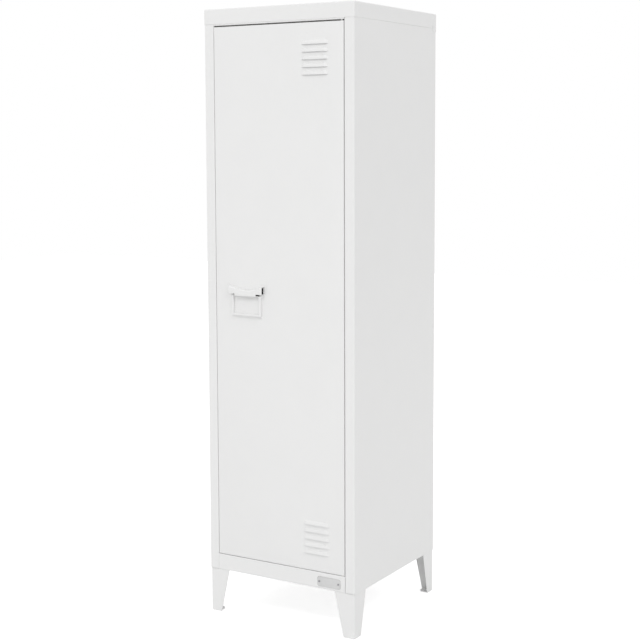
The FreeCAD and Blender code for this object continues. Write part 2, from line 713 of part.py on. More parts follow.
def door_skin():
    """Door pressed out of one sheet: a pan with lips round its back, louvres and a hole for the fingers."""
    pan = block(DOOR_LEFT, DOOR_RIGHT, FRONT, DOOR_BACK, DOOR_BOTTOM, DOOR_TOP)
    pan = rounded(pan, DOOR_EDGE, lies_at("y", FRONT))
    hollow = block(
        DOOR_LEFT + SHEET, DOOR_RIGHT - SHEET,
        FRONT + SHEET, DOOR_BACK - SHEET,
        DOOR_BOTTOM + SHEET, DOOR_TOP - SHEET,
    )
    hollow = rounded(hollow, DOOR_EDGE - SHEET, lies_at("y", FRONT + SHEET))
    mouth = block(
        DOOR_LEFT + DOOR_LIP, DOOR_RIGHT - DOOR_LIP,
        DOOR_BACK - SHEET - PAST, DOOR_BACK + PAST,
        DOOR_BOTTOM + DOOR_LIP, DOOR_TOP - DOOR_LIP,
    )
    bush_hole = upright_rod(BUSH_RADIUS + RUNNING, DOOR_BOTTOM - PAST, DOOR_BOTTOM + DOOR_EDGE)
    pin_hole = upright_rod(PIN_RADIUS + RUNNING, DOOR_TOP - DOOR_EDGE, DOOR_TOP + PAST)
    pan = pan.cut([hollow, mouth, bush_hole, pin_hole, finger_hole()] + STRIKE_HOLES + PULL_HOLES)
    outside = louvre_form(LOUVRE_REACH, LOUVRE_HEIGHT, LOUVRE_WIDTH)
    inside = louvre_form(LOUVRE_REACH - SHEET, LOUVRE_HEIGHT - SHEET, LOUVRE_WIDTH - 2 * SHEET)
    back = block(0, LOUVRE_WIDTH - 2 * LOUVRE_REACH, 0, SHEET + PAST, 0, LOUVRE_HEIGHT - SHEET)
    hoods, cuts = [], []
    for place in louvre_places():
        hoods.append(outside.translated(place))
        cuts.append(inside.translated(place))
        cuts.append(back.translated(place))
    return joined(pan, *hoods).cut(cuts)


def door_stiffener():
    """Hat section up the middle of the door, against the inside of the skin."""
    half = SHEET / 2
    middle = (DOOR_LEFT + DOOR_RIGHT) / 2
    near_skin = FRONT + SHEET + half
    crown = FRONT + SHEET + STIFFENER_DEPTH - half
    wall = STIFFENER_WIDTH / 2
    path = [
        (middle - wall - STIFFENER_BRIM, near_skin),
        (middle - wall, near_skin),
        (middle - wall, crown),
        (middle + wall, crown),
        (middle + wall, near_skin),
        (middle + wall + STIFFENER_BRIM, near_skin),
    ]
    z0, z1 = DOOR_BOTTOM + STIFFENER_END, DOOR_TOP - STIFFENER_END
    return folded_sheet(path, plan(z0), UP * (z1 - z0))


def lip_form(half_width, foot, top, front, back):
    """Block between two depths with the outline of the lip, whose top edge dips in the middle."""
    outline = [
        Part.makeLine(Vector(-half_width, 0, top), Vector(-half_width, 0, foot)),
        Part.makeLine(Vector(-half_width, 0, foot), Vector(half_width, 0, foot)),
        Part.makeLine(Vector(half_width, 0, foot), Vector(half_width, 0, top)),
        Part.Arc(
            Vector(half_width, 0, top), Vector(0, 0, top - LIP_DIP), Vector(-half_width, 0, top)
        ).toShape(),
    ]
    form = Part.Face(Part.Wire(outline)).extrude(TO_BACK * (back - front))
    return form.translated(Vector(PULL_X, front, 0))


def finger_hole():
    """Cutter for the hole behind the hood, through the pull and the door."""
    front, back = FRONT - PULL_SHEET - PAST, FRONT + SHEET + PAST
    full_width = lip_form(
        LIP_WIDTH / 2 - FINGER_HOLE_SIDE, LIP_FOOT + FINGER_HOLE_FOOT, LIP_TOP - FINGER_HOLE_TOP, front, back
    )
    slot = block(
        *pair(PULL_X, FINGER_SLOT_WIDTH), front, back, LIP_FOOT - FINGER_SLOT_DROP, LIP_FOOT + FINGER_HOLE_FOOT
    )
    return joined(full_width, slot)


def hood():
    """Hood over the fingers, open below and at its ends: a back wall, a roof and a lip with a tab in front."""
    half = LIP_WIDTH / 2
    lip_front, lip_back = FRONT - PULL_REACH, FRONT - PULL_REACH + PULL_SHEET
    back_wall = FRONT - PULL_SHEET
    outside = lip_form(half, LIP_FOOT, LIP_TOP, lip_front, FRONT)
    outside = rounded(outside, LIP_ROLL, both(is_curved, lies_at("y", lip_front)))
    inside = lip_form(half + PAST, LIP_FOOT - PAST, LIP_TOP - PULL_SHEET, lip_back, back_wall)
    tab = block(*pair(PULL_X, TAB_WIDTH), lip_front, lip_back, LIP_FOOT - TAB_DROP, LIP_FOOT)
    return joined(outside.cut(inside), tab)


def pull():
    """Pull of the door: label frame with a groove for the card, and the hood for the fingers above it."""
    x0, x1 = pair(PULL_X, FRAME_WIDTH)
    y0, y1 = FRONT - FRAME_REACH, FRONT - PULL_SHEET
    top = LIP_FOOT - BAR_NOTCH
    plate = block(x0, x1, y1, FRONT, FRAME_BOTTOM, LIP_FOOT)
    bars = [
        block(x0, x0 + FRAME_BAR, y0, y1, FRAME_BOTTOM, top),
        block(x1 - FRAME_BAR, x1, y0, y1, FRAME_BOTTOM, top),
        block(x0, x1, y0, y1, FRAME_BOTTOM, FRAME_BOTTOM + FRAME_BAR),
    ]
    edge = FRAME_BAR - GROOVE_DEPTH
    groove = block(x0 + edge, x1 - edge, y1 - GROOVE_WIDTH, y1, FRAME_BOTTOM + edge, top + PAST)
    return joined(hood(), plate, *bars).cut([groove, finger_hole()] + PULL_HOLES)


def strike_plate():
    """Steel plate on the lip of the door that the catch holds."""
    x0, x1 = pair(STRIKE_X, STRIKE_WIDTH)
    z0, z1 = pair(CATCH_Z, STRIKE_HEIGHT)
    return block(x0, x1, DOOR_BACK, DOOR_BACK + STRIKE_SHEET, z0, z1).cut(STRIKE_HOLES)


# Hinges

def bush(foot, seat):
    """Flanged plastic bush: its sleeve starts at foot and its rim lies on the sheet at seat."""
    sleeve = upright_rod(BUSH_RADIUS, foot, foot + BUSH_LENGTH)
    rim = upright_rod(BUSH_FLANGE, seat, seat + BUSH_RIM)
    bore = upright_rod(PIN_RADIUS + RUNNING, foot - PAST, foot + BUSH_LENGTH + PAST)
    return joined(sleeve, rim).cut(bore)


def bottom_hinge_plate():
    """Plate under the top of the rail that holds the bottom pin."""
    x1 = HINGE_X + HINGE_INSET
    z1 = OPEN_BOTTOM - SHEET
    room = SHEET + CREASE
    plate = block(x1 - HINGE_PLATE_LENGTH, x1, FRONT + room, RAIL_BACK - room, z1 - HINGE_PLATE, z1)
    return plate.cut(upright_rod(PIN_RADIUS + RUNNING, z1 - HINGE_PLATE - PAST, z1 + PAST))


def bottom_hinge_pin():
    """Headed pin up through the hinge plate and the rail into the door's bush."""
    foot = OPEN_BOTTOM - SHEET - HINGE_PLATE
    pin = upright_rod(PIN_RADIUS, foot, DOOR_BOTTOM + PIN_IN_BUSH)
    return joined(pin, upright_rod(PIN_HEAD, foot - PIN_HEAD_HEIGHT, foot))


def thrust_washer():
    """Plastic washer that carries the door on the rail."""
    ring = upright_rod(WASHER_RADIUS, OPEN_BOTTOM, DOOR_BOTTOM - WASHER_SLACK)
    return ring.cut(upright_rod(PIN_RADIUS + RUNNING, OPEN_BOTTOM - PAST, DOOR_BOTTOM))


def top_pin_bracket():
    """Bracket in the corner of the door whose two ears guide the top pin."""
    half = BRACKET_SHEET / 2
    web = DOOR_RIGHT - SHEET - half
    ear = HINGE_X - BRACKET_EAR
    path = [
        (ear, BRACKET_TOP - half),
        (web, BRACKET_TOP - half),
        (web, BRACKET_BOTTOM + half),
        (ear, BRACKET_BOTTOM + half),
    ]
    bracket = folded_sheet(path, elevation(FRONT + DOOR_EDGE), TO_BACK * BRACKET_DEPTH, BRACKET_SHEET)
    return bracket.cut(upright_rod(PIN_RADIUS + RUNNING, BRACKET_BOTTOM - PAST, BRACKET_TOP + PAST))


def top_hinge_pin():
    """Sprung pin whose bent tail draws it down out of the header's bush."""
    corner = Vector(HINGE_X, HINGE_Y, BRACKET_BOTTOM - TAIL_DROP)
    pin = rod(PIN_RADIUS, corner, Vector(HINGE_X, HINGE_Y, OPEN_TOP + PIN_IN_BUSH))
    tail = rod(PIN_RADIUS, corner, corner - Vector(TAIL_REACH, 0, 0))
    return joined(pin, Part.makeSphere(PIN_RADIUS, corner), tail)


def pin_collar():
    """Ring on the top pin that the spring pushes against the bracket's upper ear."""
    ring = upright_rod(COLLAR_RADIUS, SPRING_HEAD, COLLAR_TOP)
    return ring.cut(upright_rod(PIN_RADIUS + RUNNING, SPRING_HEAD - PAST, COLLAR_TOP + PAST))


def pin_spring():
    """Coil spring round the top pin, from the bracket's lower ear to the collar."""
    coil = PIN_RADIUS + SPRING_ROOM + SPRING_WIRE
    rise = SPRING_HEAD - SPRING_FOOT - 2 * SPRING_WIRE
    wire = Part.Wire(Part.makeCircle(SPRING_WIRE, Vector(coil, 0, 0), TO_BACK))
    spring = Part.makeHelix(rise / SPRING_TURNS, rise, coil).makePipeShell([wire], True, True)
    spring.translate(Vector(HINGE_X, HINGE_Y, SPRING_FOOT + SPRING_WIRE))
    return spring


# Shelves, modelled on the left side

def upright(middle):
    """Slotted channel on a side panel that the shelf clips hook into."""
    half = SHEET / 2
    y0, y1 = pair(middle, UPRIGHT_WIDTH)
    path = [
        (LEFT + SHEET, y0 + half),
        (-WEB - half, y0 + half),
        (-WEB - half, y1 - half),
        (LEFT + SHEET, y1 - half),
    ]
    channel = folded_sheet(path, plan(OPEN_BOTTOM), UP * (UPRIGHT_TOP - OPEN_BOTTOM))
    s0, s1 = pair(middle, SLOT_WIDTH)
    slots = [
        block(-WEB - SHEET - PAST, -WEB + PAST, s0, s1, *pair(slot, SLOT_HEIGHT)) for slot in SLOTS
    ]
    return channel.cut(slots)


def shelf_clip(slot, middle):
    """Clip hooked into a slot, with a tongue under the edge of the shelf."""
    top = slot + SLOT_HEIGHT
    c0, c1 = pair(middle, CLIP_WIDTH)
    h0, h1 = pair(middle, SLOT_WIDTH - 2 * FIT)
    plate = block(-WEB, -WEB + CLIP_SHEET, c0, c1, top - CLIP_DROP, top)
    tongue = block(-WEB, -WEB + CLIP_TONGUE, c0, c1, top - CLIP_SHEET, top)
    hook = block(-WEB - CLIP_HOOK, -WEB, h0, h1, slot - SLOT_HEIGHT / 2, slot + SLOT_HEIGHT / 2 - FIT)
    return joined(plate, tongue, hook)


def shelf_clips(slot):
    """The four clips that carry one shelf."""
    left = [shelf_clip(slot, middle) for middle in UPRIGHT_MIDDLES.values()]
    return Part.makeCompound(left + [other_side(clip) for clip in left])


def shelf(slot):
    """Shelf with its edges turned down and in, resting on its clips."""
    z0 = slot + SLOT_HEIGHT
    return tray(
        -SHELF_HALF, SHELF_HALF,
        STOP_BACK + SHELF_SETBACK, SHELF_BACK,
        z0, z0 + SHELF_EDGE, SHELF_LIP, SHEET + CREASE,
    )


# Catch, buffers and nameplate

def catch_case():
    """Plastic case of the magnetic catch, behind the left stop lip."""
    case = block(
        *pair(CATCH_X, CATCH_WIDTH), STOP_BACK, STOP_BACK + CATCH_DEPTH, *pair(CATCH_Z, CATCH_HEIGHT)
    )
    pocket = block(
        *pair(CATCH_X, MAGNET_WIDTH + 2 * (POLE_SHEET + RUNNING)),
        STOP_BACK - PAST, STOP_BACK + MAGNET_DEPTH + RUNNING,
        *pair(CATCH_Z, MAGNET_HEIGHT + 2 * RUNNING),
    )
    return case.cut([pocket] + CATCH_HOLES)


def catch_magnet():
    """Magnet between the pole pieces."""
    return block(
        *pair(CATCH_X, MAGNET_WIDTH), STOP_BACK, STOP_BACK + MAGNET_DEPTH, *pair(CATCH_Z, MAGNET_HEIGHT)
    )


def catch_poles():
    """Two steel pole pieces that reach through the stop lip to the strike plate."""
    inner, outer = MAGNET_WIDTH / 2, MAGNET_WIDTH / 2 + POLE_SHEET
    z0, z1 = pair(CATCH_Z, MAGNET_HEIGHT)
    back = STOP_BACK + MAGNET_DEPTH
    return Part.makeCompound([
        block(CATCH_X - outer, CATCH_X - inner, POLE_FRONT, back, z0, z1),
        block(CATCH_X + inner, CATCH_X + outer, POLE_FRONT, back, z0, z1),
    ])


def door_buffers():
    """Rubber buffers on the left stop lip that the door closes against."""
    heights = (DOOR_BOTTOM + BUFFER_END, DOOR_TOP - BUFFER_END)
    return Part.makeCompound([
        rod(BUFFER_RADIUS, Vector(CATCH_X, STOP_FACE, z), Vector(CATCH_X, DOOR_BACK + FIT, z))
        for z in heights
    ])


def nameplate():
    """Bare plate with round corners on the bottom rail."""
    plate = block(
        *pair(NAMEPLATE_X, NAMEPLATE_WIDTH),
        FRONT - NAMEPLATE_SHEET, FRONT,
        *pair(NAMEPLATE_Z, NAMEPLATE_HEIGHT),
    )
    return rounded(plate, NAMEPLATE_CORNER, runs_along("y")).cut(NAMEPLATE_HOLES)


# All pieces by name

def body_pieces():
    return {
        "left_side_panel": left_side_panel(),
        "right_side_panel": other_side(side_panel()),
        "back_panel": back_panel(),
        "lid": lid(),
        "header": header(),
        "bottom_rail": bottom_rail(),
        "floor_tray": floor_tray(),
        "back_screws": group(screw, BACK_SEATS, INWARD),
        "lid_screws": group(screw, LID_SEATS, INWARD),
        "rail_screws": group(screw, RAIL_SEATS, INWARD),
    }


def leg_pieces():
    pieces = in_each_corner("leg", leg(), LEG_HOLES + PAD_HOLES)
    pieces.update(in_each_corner("foot_pad", foot_pad(), PAD_HOLES))
    pieces["leg_screws"] = group(screw, LEG_SEATS, UP)
    pieces["foot_screws"] = group(screw, PAD_SEATS, UP, PAD_SCREW_LENGTH)
    return pieces


def door_pieces():
    return {
        "door_skin": door_skin(),
        "door_stiffener": door_stiffener(),
        "pull": pull(),
        "pull_rivets": group(rivet, PULL_SEATS, INWARD, PULL_RIVET_LENGTH),
        "strike_plate": strike_plate(),
        "strike_rivets": group(rivet, STRIKE_SEATS, TO_BACK, STRIKE_RIVET_LENGTH),
    }


def hinge_pieces():
    return {
        "bottom_hinge_plate": bottom_hinge_plate(),
        "bottom_hinge_pin": bottom_hinge_pin(),
        "thrust_washer": thrust_washer(),
        "bottom_bush": bush(DOOR_BOTTOM, DOOR_BOTTOM + SHEET),
        "top_bush": bush(OPEN_TOP, OPEN_TOP + SHEET),
        "top_pin_bracket": top_pin_bracket(),
        "top_hinge_pin": top_hinge_pin(),
        "pin_collar": pin_collar(),
        "pin_spring": pin_spring(),
    }


def shelf_pieces():
    pieces = {}
    for end, middle in UPRIGHT_MIDDLES.items():
        left = upright(middle)
        pieces[f"upright_{end}_left"] = left
        pieces[f"upright_{end}_right"] = other_side(left)
    for name, slot in zip(("lower", "middle", "upper"), SHELF_SLOTS):
        pieces[f"shelf_{name}"] = shelf(slot)
        pieces[f"shelf_clips_{name}"] = shelf_clips(slot)
    return pieces


def fitting_pieces():
    return {
        "catch_case": catch_case(),
        "catch_magnet": catch_magnet(),
        "catch_poles": catch_poles(),
        "catch_screws": group(screw, CATCH_SEATS, TO_BACK),
        "door_buffers": door_buffers(),
        "nameplate": nameplate(),
        "nameplate_rivets": group(rivet, NAMEPLATE_SEATS, TO_BACK, NAMEPLATE_RIVET_LENGTH),
    }


os.makedirs("parts", exist_ok=True)
for make_pieces in (body_pieces, leg_pieces, door_pieces, hinge_pieces, shelf_pieces, fitting_pieces):
    for node, shape in make_pieces().items():
        shape.exportStep(f"parts/{node}.step")
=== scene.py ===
# %% [markdown]
# # Dressing a sheet-steel locker
#
# The locker's solids were built to size in CAD, and they arrive here as named nodes on three bodies: the
# cabinet, the door and the sprung top pin. This lesson gives them real finishes, and models again the
# pieces whose small forms catch the eye: the louvred door, the pull, the nameplate, the rivets, the feet
# and the buffers. It also winds the spring of the top pin, which has to shorten. Everything is in metres,
# with the front of the locker towards -Y.

# %% Load the solids
import json
from math import pi, radians

import bmesh
import bpy
from mathutils import Matrix, Vector


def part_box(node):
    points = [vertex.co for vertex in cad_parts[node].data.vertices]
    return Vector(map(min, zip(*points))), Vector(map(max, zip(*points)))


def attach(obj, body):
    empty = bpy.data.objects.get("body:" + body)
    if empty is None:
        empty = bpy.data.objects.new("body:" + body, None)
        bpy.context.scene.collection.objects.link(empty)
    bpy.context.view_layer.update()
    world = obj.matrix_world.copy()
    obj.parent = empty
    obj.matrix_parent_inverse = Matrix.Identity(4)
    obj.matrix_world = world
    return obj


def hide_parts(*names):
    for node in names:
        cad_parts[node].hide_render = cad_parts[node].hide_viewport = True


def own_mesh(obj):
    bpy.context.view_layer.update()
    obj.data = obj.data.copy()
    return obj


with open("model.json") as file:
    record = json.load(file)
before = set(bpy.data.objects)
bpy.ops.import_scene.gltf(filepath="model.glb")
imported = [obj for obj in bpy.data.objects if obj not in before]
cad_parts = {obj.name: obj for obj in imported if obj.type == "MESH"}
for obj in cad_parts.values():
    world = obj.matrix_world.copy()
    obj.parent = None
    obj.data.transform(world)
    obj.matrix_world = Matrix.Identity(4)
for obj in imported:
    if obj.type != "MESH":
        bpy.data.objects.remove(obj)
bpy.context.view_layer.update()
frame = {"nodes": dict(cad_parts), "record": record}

MM = 0.001

# %% [markdown]
# ## Sums with sockets
#
# Materials are built from nodes. Linking dozens of Math nodes by hand hides what they do, so a small
# class wraps one output socket. Adding or multiplying two such signals adds the Math node and links it,
# and one method adds any other kind of node. A finish then reads like the sum it stands for.

# %% Find a socket and feed it
def find_socket(sockets, key):
    """A socket by its number, by its name, or the first one in use."""
    if isinstance(key, int):
        return sockets[key]
    in_use = [socket for socket in sockets if socket.enabled]
    return next(socket for socket in in_use if key is None or socket.name == key)


def feed(socket, value):
    """Links a signal to a socket, or writes a plain value on it."""
    if isinstance(value, Signal):
        socket.id_data.links.new(value.socket, socket)
    else:
        socket.default_value = value


print("sockets can be found and fed")

# %% A signal is one output of a node
class Signal:
    """One output socket of a node tree, ready to be used in sums."""

    def __init__(self, socket):
        self.socket = socket

    def node(self, kind, settings, inputs, output=None):
        """Adds a node to the same tree, sets it up, fills its inputs and returns one of its outputs."""
        made = self.socket.id_data.nodes.new(kind)
        for name, value in settings.items():
            setattr(made, name, value)
        for name, value in inputs.items():
            feed(find_socket(made.inputs, name), value)
        return Signal(find_socket(made.outputs, output))

    def math(self, operation, first, second):
        """Adds a Math node with these two inputs."""
        return self.node("ShaderNodeMath", {"operation": operation}, {0: first, 1: second})

    def __add__(self, other):
        return self.math("ADD", self, other)

    def __radd__(self, other):
        return self.math("ADD", other, self)

    def __rsub__(self, other):
        return self.math("SUBTRACT", other, self)

    def __mul__(self, other):
        return self.math("MULTIPLY", self, other)

    def __rmul__(self, other):
        return self.math("MULTIPLY", other, self)


print("signals can be added, subtracted and multiplied")

# %% [markdown]
# ## Starting a finish
#
# Every finish begins the same way: a material with a Principled shader, and the piece's own Object
# coordinates in metres. A painted picture would have to be unwrapped onto each piece and would blur close
# up. A pattern worked out from the place keeps its true size, and stays on its piece when the door
# swings.

# %% A material and its place signal
def new_finish(name):
    """A new material, its Principled shader and the signal of the place on the object."""
    material = bpy.data.materials.new(name)
    material.use_nodes = True
    shader = material.node_tree.nodes["Principled BSDF"]
    coordinates = material.node_tree.nodes.new("ShaderNodeTexCoord")
    return material, shader, Signal(coordinates.outputs["Object"])


def noise(place, size, detail=2.0, roughness=0.5):
    """Soft random values from 0 to 1, whose patches are about one size across."""
    inputs = {"Vector": place, "Scale": 1 / size, "Detail": detail, "Roughness": roughness}
    return place.node("ShaderNodeTexNoise", {}, inputs)


def blend_colours(amount, first, second):
    """From the first colour to the second as the amount goes from 0 to 1."""
    inputs = {"Factor": amount, "A": (*first, 1.0), "B": (*second, 1.0)}
    return amount.node("ShaderNodeMix", {"data_type": "RGBA"}, inputs)


def bump(height, depth, strength, normal=None):
    """The normal of a surface with small heights on it, of this depth in metres."""
    inputs = {"Height": height, "Distance": depth, "Strength": strength}
    if normal:
        inputs["Normal"] = normal
    return height.node("ShaderNodeBump", {}, inputs)


print("finishes can be started")

# %% [markdown]
# ## White powder coat
#
# The sheet is sprayed with powder that melts into a thick satin skin. Close up it has a fine orange peel,
# about a millimetre from bump to bump, and over a hand's width the sheet is never quite flat. Modelling
# the peel would take millions of faces, so noise drives a Bump node instead. Paint also rounds every
# folded or cut edge, so a Bevel node softens the edges that CAD leaves sharp.

# %% The coat of the body
COAT_LIGHT = (0.850, 0.850, 0.846)
COAT_DARK = (0.828, 0.828, 0.825)


def powder_coat():
    """Satin white paint with orange peel and softened edges."""
    material, shader, place = new_finish("white_powder_coat")
    mottle = noise(place, 70 * MM, detail=3.0)
    peel = noise(place, 1.1 * MM)
    grain = noise(place, 0.35 * MM)
    feed(shader.inputs["Base Color"], blend_colours(mottle, COAT_DARK, COAT_LIGHT))
    feed(shader.inputs["Roughness"], 0.36 + 0.08 * mottle + 0.04 * grain)
    edges = place.node("ShaderNodeBevel", {"samples": 6}, {"Radius": 0.5 * MM})
    feed(shader.inputs["Normal"], bump(peel + 0.3 * grain, 0.03 * MM, 0.5, edges))
    return material


finishes = {"body_paint": powder_coat()}
print("coat:", finishes["body_paint"].name)

# %% [markdown]
# ## Zinc plate
#
# Screws, hinge parts, clips and the spring are plain steel with a thin bright zinc skin. It has a faint
# patchwork of crystals and a blue to straw tint from the bath it was sealed in, so both colour and gloss
# drift a little over a few millimetres. A Voronoi texture splits space into cells as crystals do, and a
# wide noise carries the tint.

# %% The zinc of the fittings
ZINC_BLUE = (0.56, 0.58, 0.61)
ZINC_STRAW = (0.66, 0.65, 0.61)


def zinc_plate():
    """Bright metal with small crystals and a drifting tint."""
    material, shader, place = new_finish("zinc_plate")
    tint = noise(place, 9 * MM, detail=3.0)
    crystal_inputs = {"Vector": place, "Scale": 1 / (1.6 * MM)}
    crystals = place.node("ShaderNodeTexVoronoi", {"feature": "F1"}, crystal_inputs, "Distance")
    feed(shader.inputs["Base Color"], blend_colours(tint, ZINC_BLUE, ZINC_STRAW))
    feed(shader.inputs["Roughness"], 0.26 + 0.10 * crystals + 0.08 * tint)
    feed(shader.inputs["Normal"], bump(crystals, 0.01 * MM, 0.4))
    shader.inputs["Metallic"].default_value = 1.0
    return material


finishes["zinc_steel"] = zinc_plate()
print("zinc:", finishes["zinc_steel"].name)

# %% [markdown]
# ## Moulded plastics
#
# The foot pads, the hinge bushes and the case of the catch are moulded. They share one recipe: a colour
# that varies a little with the flow of the melt, and the fine spark-eroded texture of the mould. Only
# their colours, gloss and grain differ, so a function takes those.

# %% Feet, hinge bushes and catch
def moulded_plastic(name, thin_colour, thick_colour, gloss_loss, grain_size):
    """Plastic with flow marks in its colour and the grain of its mould."""
    material, shader, place = new_finish(name)
    flow = noise(place, 6 * MM)
    grain = noise(place, grain_size, detail=3.0)
    feed(shader.inputs["Base Color"], blend_colours(flow, thin_colour, thick_colour))
    feed(shader.inputs["Roughness"], gloss_loss + 0.12 * grain)
    edges = place.node("ShaderNodeBevel", {"samples": 6}, {"Radius": 0.4 * MM})
    feed(shader.inputs["Normal"], bump(grain, 0.03 * MM, 0.6, edges))
    return material


finishes["foot_plastic"] = moulded_plastic(
    "pale_foot_plastic", (0.74, 0.74, 0.74), (0.79, 0.79, 0.79), gloss_loss=0.48, grain_size=0.5 * MM
)
finishes["hinge_plastic"] = moulded_plastic(
    "natural_nylon", (0.80, 0.78, 0.71), (0.84, 0.83, 0.78), gloss_loss=0.34, grain_size=0.8 * MM
)
finishes["catch_plastic"] = moulded_plastic(
    "white_catch_plastic", (0.78, 0.78, 0.77), (0.82, 0.82, 0.81), gloss_loss=0.40, grain_size=0.4 * MM
)
print("plastics:", [finishes[slot].name for slot in ("foot_plastic", "hinge_plastic", "catch_plastic")])

# %% [markdown]
# ## Ferrite and rubber
#
# The magnet is pressed and fired powder: nearly black, matt and slightly pitted, which a rough noise
# gives to colour, gloss and bump alike. The buffers are soft clear rubber, which looks pale grey against
# the paint because a little light goes into it. Subsurface scattering does that without the cost of real
# glass.

# %% The magnet and the buffers
def ferrite():
    """Nearly black fired powder with pits."""
    material, shader, place = new_finish("ferrite")
    pits = noise(place, 0.6 * MM, detail=4.0, roughness=0.7)
    feed(shader.inputs["Base Color"], blend_colours(pits, (0.06, 0.06, 0.065), (0.12, 0.12, 0.125)))
    feed(shader.inputs["Roughness"], 0.50 + 0.25 * pits)
    feed(shader.inputs["Normal"], bump(pits, 0.05 * MM, 0.6))
    return material


def soft_rubber():
    """Pale clear rubber that lets in a little light."""
    material, shader, place = new_finish("soft_rubber")
    haze = noise(place, 3 * MM)
    skin = noise(place, 0.3 * MM)
    feed(shader.inputs["Base Color"], blend_colours(haze, (0.66, 0.67, 0.66), (0.74, 0.75, 0.74)))
    feed(shader.inputs["Roughness"], 0.30 + 0.15 * skin)
    feed(shader.inputs["Normal"], bump(skin, 0.01 * MM, 0.4))
    shader.inputs["Subsurface Weight"].default_value = 0.3
    shader.inputs["Subsurface Scale"].default_value = 1.5 * MM
    return material


finishes["magnet"] = ferrite()
finishes["buffer_rubber"] = soft_rubber()
print("soft and dark:", finishes["magnet"].name, finishes["buffer_rubber"].name)

# %% [markdown]
# ## Satin aluminium
#
# The nameplate is a bare aluminium plate, brushed along its length, and its rivets are aluminium too. The
# rivets get a much darker colour than the plate. That is painted shade, so their small heads show as dark
# dots.
# Brushing leaves very long thin scratches, so the noise is stretched: the Mapping node squeezes X, which
# makes each patch long in X and thin in the other directions.

# %% Brushed plate and plain rivets
def satin_aluminium(name, dull_colour, bright_colour, stretch):
    """Soft metal whose scratches are some times longer in X than they are wide."""
    material, shader, place = new_finish(name)
    lengthwise = place.node("ShaderNodeMapping", {}, {"Vector": place, "Scale": (1 / stretch, 1.0, 1.0)})
    scratches = noise(lengthwise, 0.25 * MM, detail=3.0, roughness=0.6)
    clouds = noise(place, 12 * MM)
    feed(shader.inputs["Base Color"], blend_colours(clouds, dull_colour, bright_colour))
    feed(shader.inputs["Roughness"], 0.32 + 0.16 * scratches)
    feed(shader.inputs["Normal"], bump(scratches, 0.01 * MM, 0.5))
    shader.inputs["Metallic"].default_value = 1.0
    return material


finishes["nameplate_metal"] = satin_aluminium(
    "brushed_nameplate", (0.46, 0.46, 0.46), (0.50, 0.50, 0.50), stretch=60.0
)
# The rivet colours are painted shade: far darker than bare aluminium, so the small heads show as dark
# dots.
finishes["rivet_metal"] = satin_aluminium(
    "rivet_aluminium_painted_shade", (0.26, 0.26, 0.27), (0.32, 0.32, 0.33), stretch=1.0
)
print("aluminium:", finishes["nameplate_metal"].name, finishes["rivet_metal"].name)

# %% [markdown]
# ## Dressing the solids
#
# The record of the model says which slot each node belongs to. The nodes stay as they are, and each gets
# the finish of its slot.

# %% Give every node its finish
for part in frame["record"]["subparts"]:
    node = frame["nodes"][part["node"]]
    node.data.materials.clear()
    node.data.materials.append(finishes[part["material_slot"]])

# %% [markdown]
# ## Picking by place
#
# By hand, one clicks on faces and edges before using a tool. A script has no mouse, so it picks them by
# where they are or which way they face: a small test is tried on every point, edge or face, and those
# that pass get selected. Numbers of faces would do too, but they change as soon as an earlier step does.

# %% Select what passes a test
CLOSE = 0.01 * MM
STRAIGHT = 0.999
FORWARD = Vector((0.0, -1.0, 0.0))
UP = Vector((0.0, 0.0, 1.0))


def middle(item):
    """Middle of a face or an edge."""
    return sum((vert.co for vert in item.verts), Vector()) / len(item.verts)


def looks(direction):
    """Makes the test whether a face looks straight in a direction."""
    return lambda face: face.normal.dot(direction) > STRAIGHT


def pick(kind, wanted):
    """In edit mode, selects the points, edges or faces that pass a test, and nothing else."""
    bpy.ops.mesh.select_mode(type=kind)
    bpy.ops.mesh.select_all(action="DESELECT")
    mesh = bpy.context.object.data
    shape = bmesh.from_edit_mesh(mesh)
    items = {"VERT": shape.verts, "EDGE": shape.edges, "FACE": shape.faces}[kind]
    for item in [item for item in items if wanted(item)]:
        item.select_set(True)
    shape.select_flush_mode()
    bmesh.update_edit_mesh(mesh)


print("tests of a place allow", CLOSE / MM, "mm")

# %% [markdown]
# ## Starting a shape
#
# Every piece starts from a primitive: a box, a grid or a cylinder. It is brought to its size and place at
# once, and the transform is applied, so the object stays at the origin and the points of its mesh are
# where they are on the locker. Boxes and grids open in edit mode, because they are worked on straight
# away.

# %% Boxes, grids and cylinders
TO_THE_FRONT = (pi / 2, 0.0, 0.0)


def start_shape(add_primitive, centre, size, **settings):
    """Adds a primitive of one metre, brings it to its size and place, and opens it in edit mode."""
    bpy.ops.object.select_all(action="DESELECT")
    add_primitive(size=1.0, location=centre, **settings)
    bpy.ops.transform.resize(value=size)
    bpy.ops.object.transform_apply(location=True, rotation=True, scale=True)
    bpy.ops.object.mode_set(mode="EDIT")
    return bpy.context.object


def start_box(low, high):
    """A box between two corners."""
    return start_shape(bpy.ops.mesh.primitive_cube_add, (low + high) / 2, high - low)


def start_upright_grid(centre, width, height, columns, rows):
    """An upright grid that faces the front."""
    return start_shape(
        bpy.ops.mesh.primitive_grid_add, centre, (width, 1.0, height),
        rotation=TO_THE_FRONT, x_subdivisions=columns, y_subdivisions=rows,
    )


def start_cylinder(centre, radius, depth, sides=32, turn=(0.0, 0.0, 0.0)):
    """A closed cylinder in object mode, upright unless it is turned."""
    bpy.ops.object.select_all(action="DESELECT")
    bpy.ops.mesh.primitive_cylinder_add(
        vertices=sides, radius=radius, depth=depth, location=centre, rotation=turn
    )
    bpy.ops.object.transform_apply(location=True, rotation=True, scale=True)
    return bpy.context.object


print("shapes can be started")

# %% [markdown]
# ## Changing and copying pieces
#
# Modifiers do what would be slow by hand, such as giving a sheet its thickness. They are applied, so the
# mesh itself holds the result and can be exported. Joining keeps two meshes as they are in one object,
# while a Boolean cuts one closed shape out of another. Things that repeat are made once and copied, each
# with a mesh of its own.

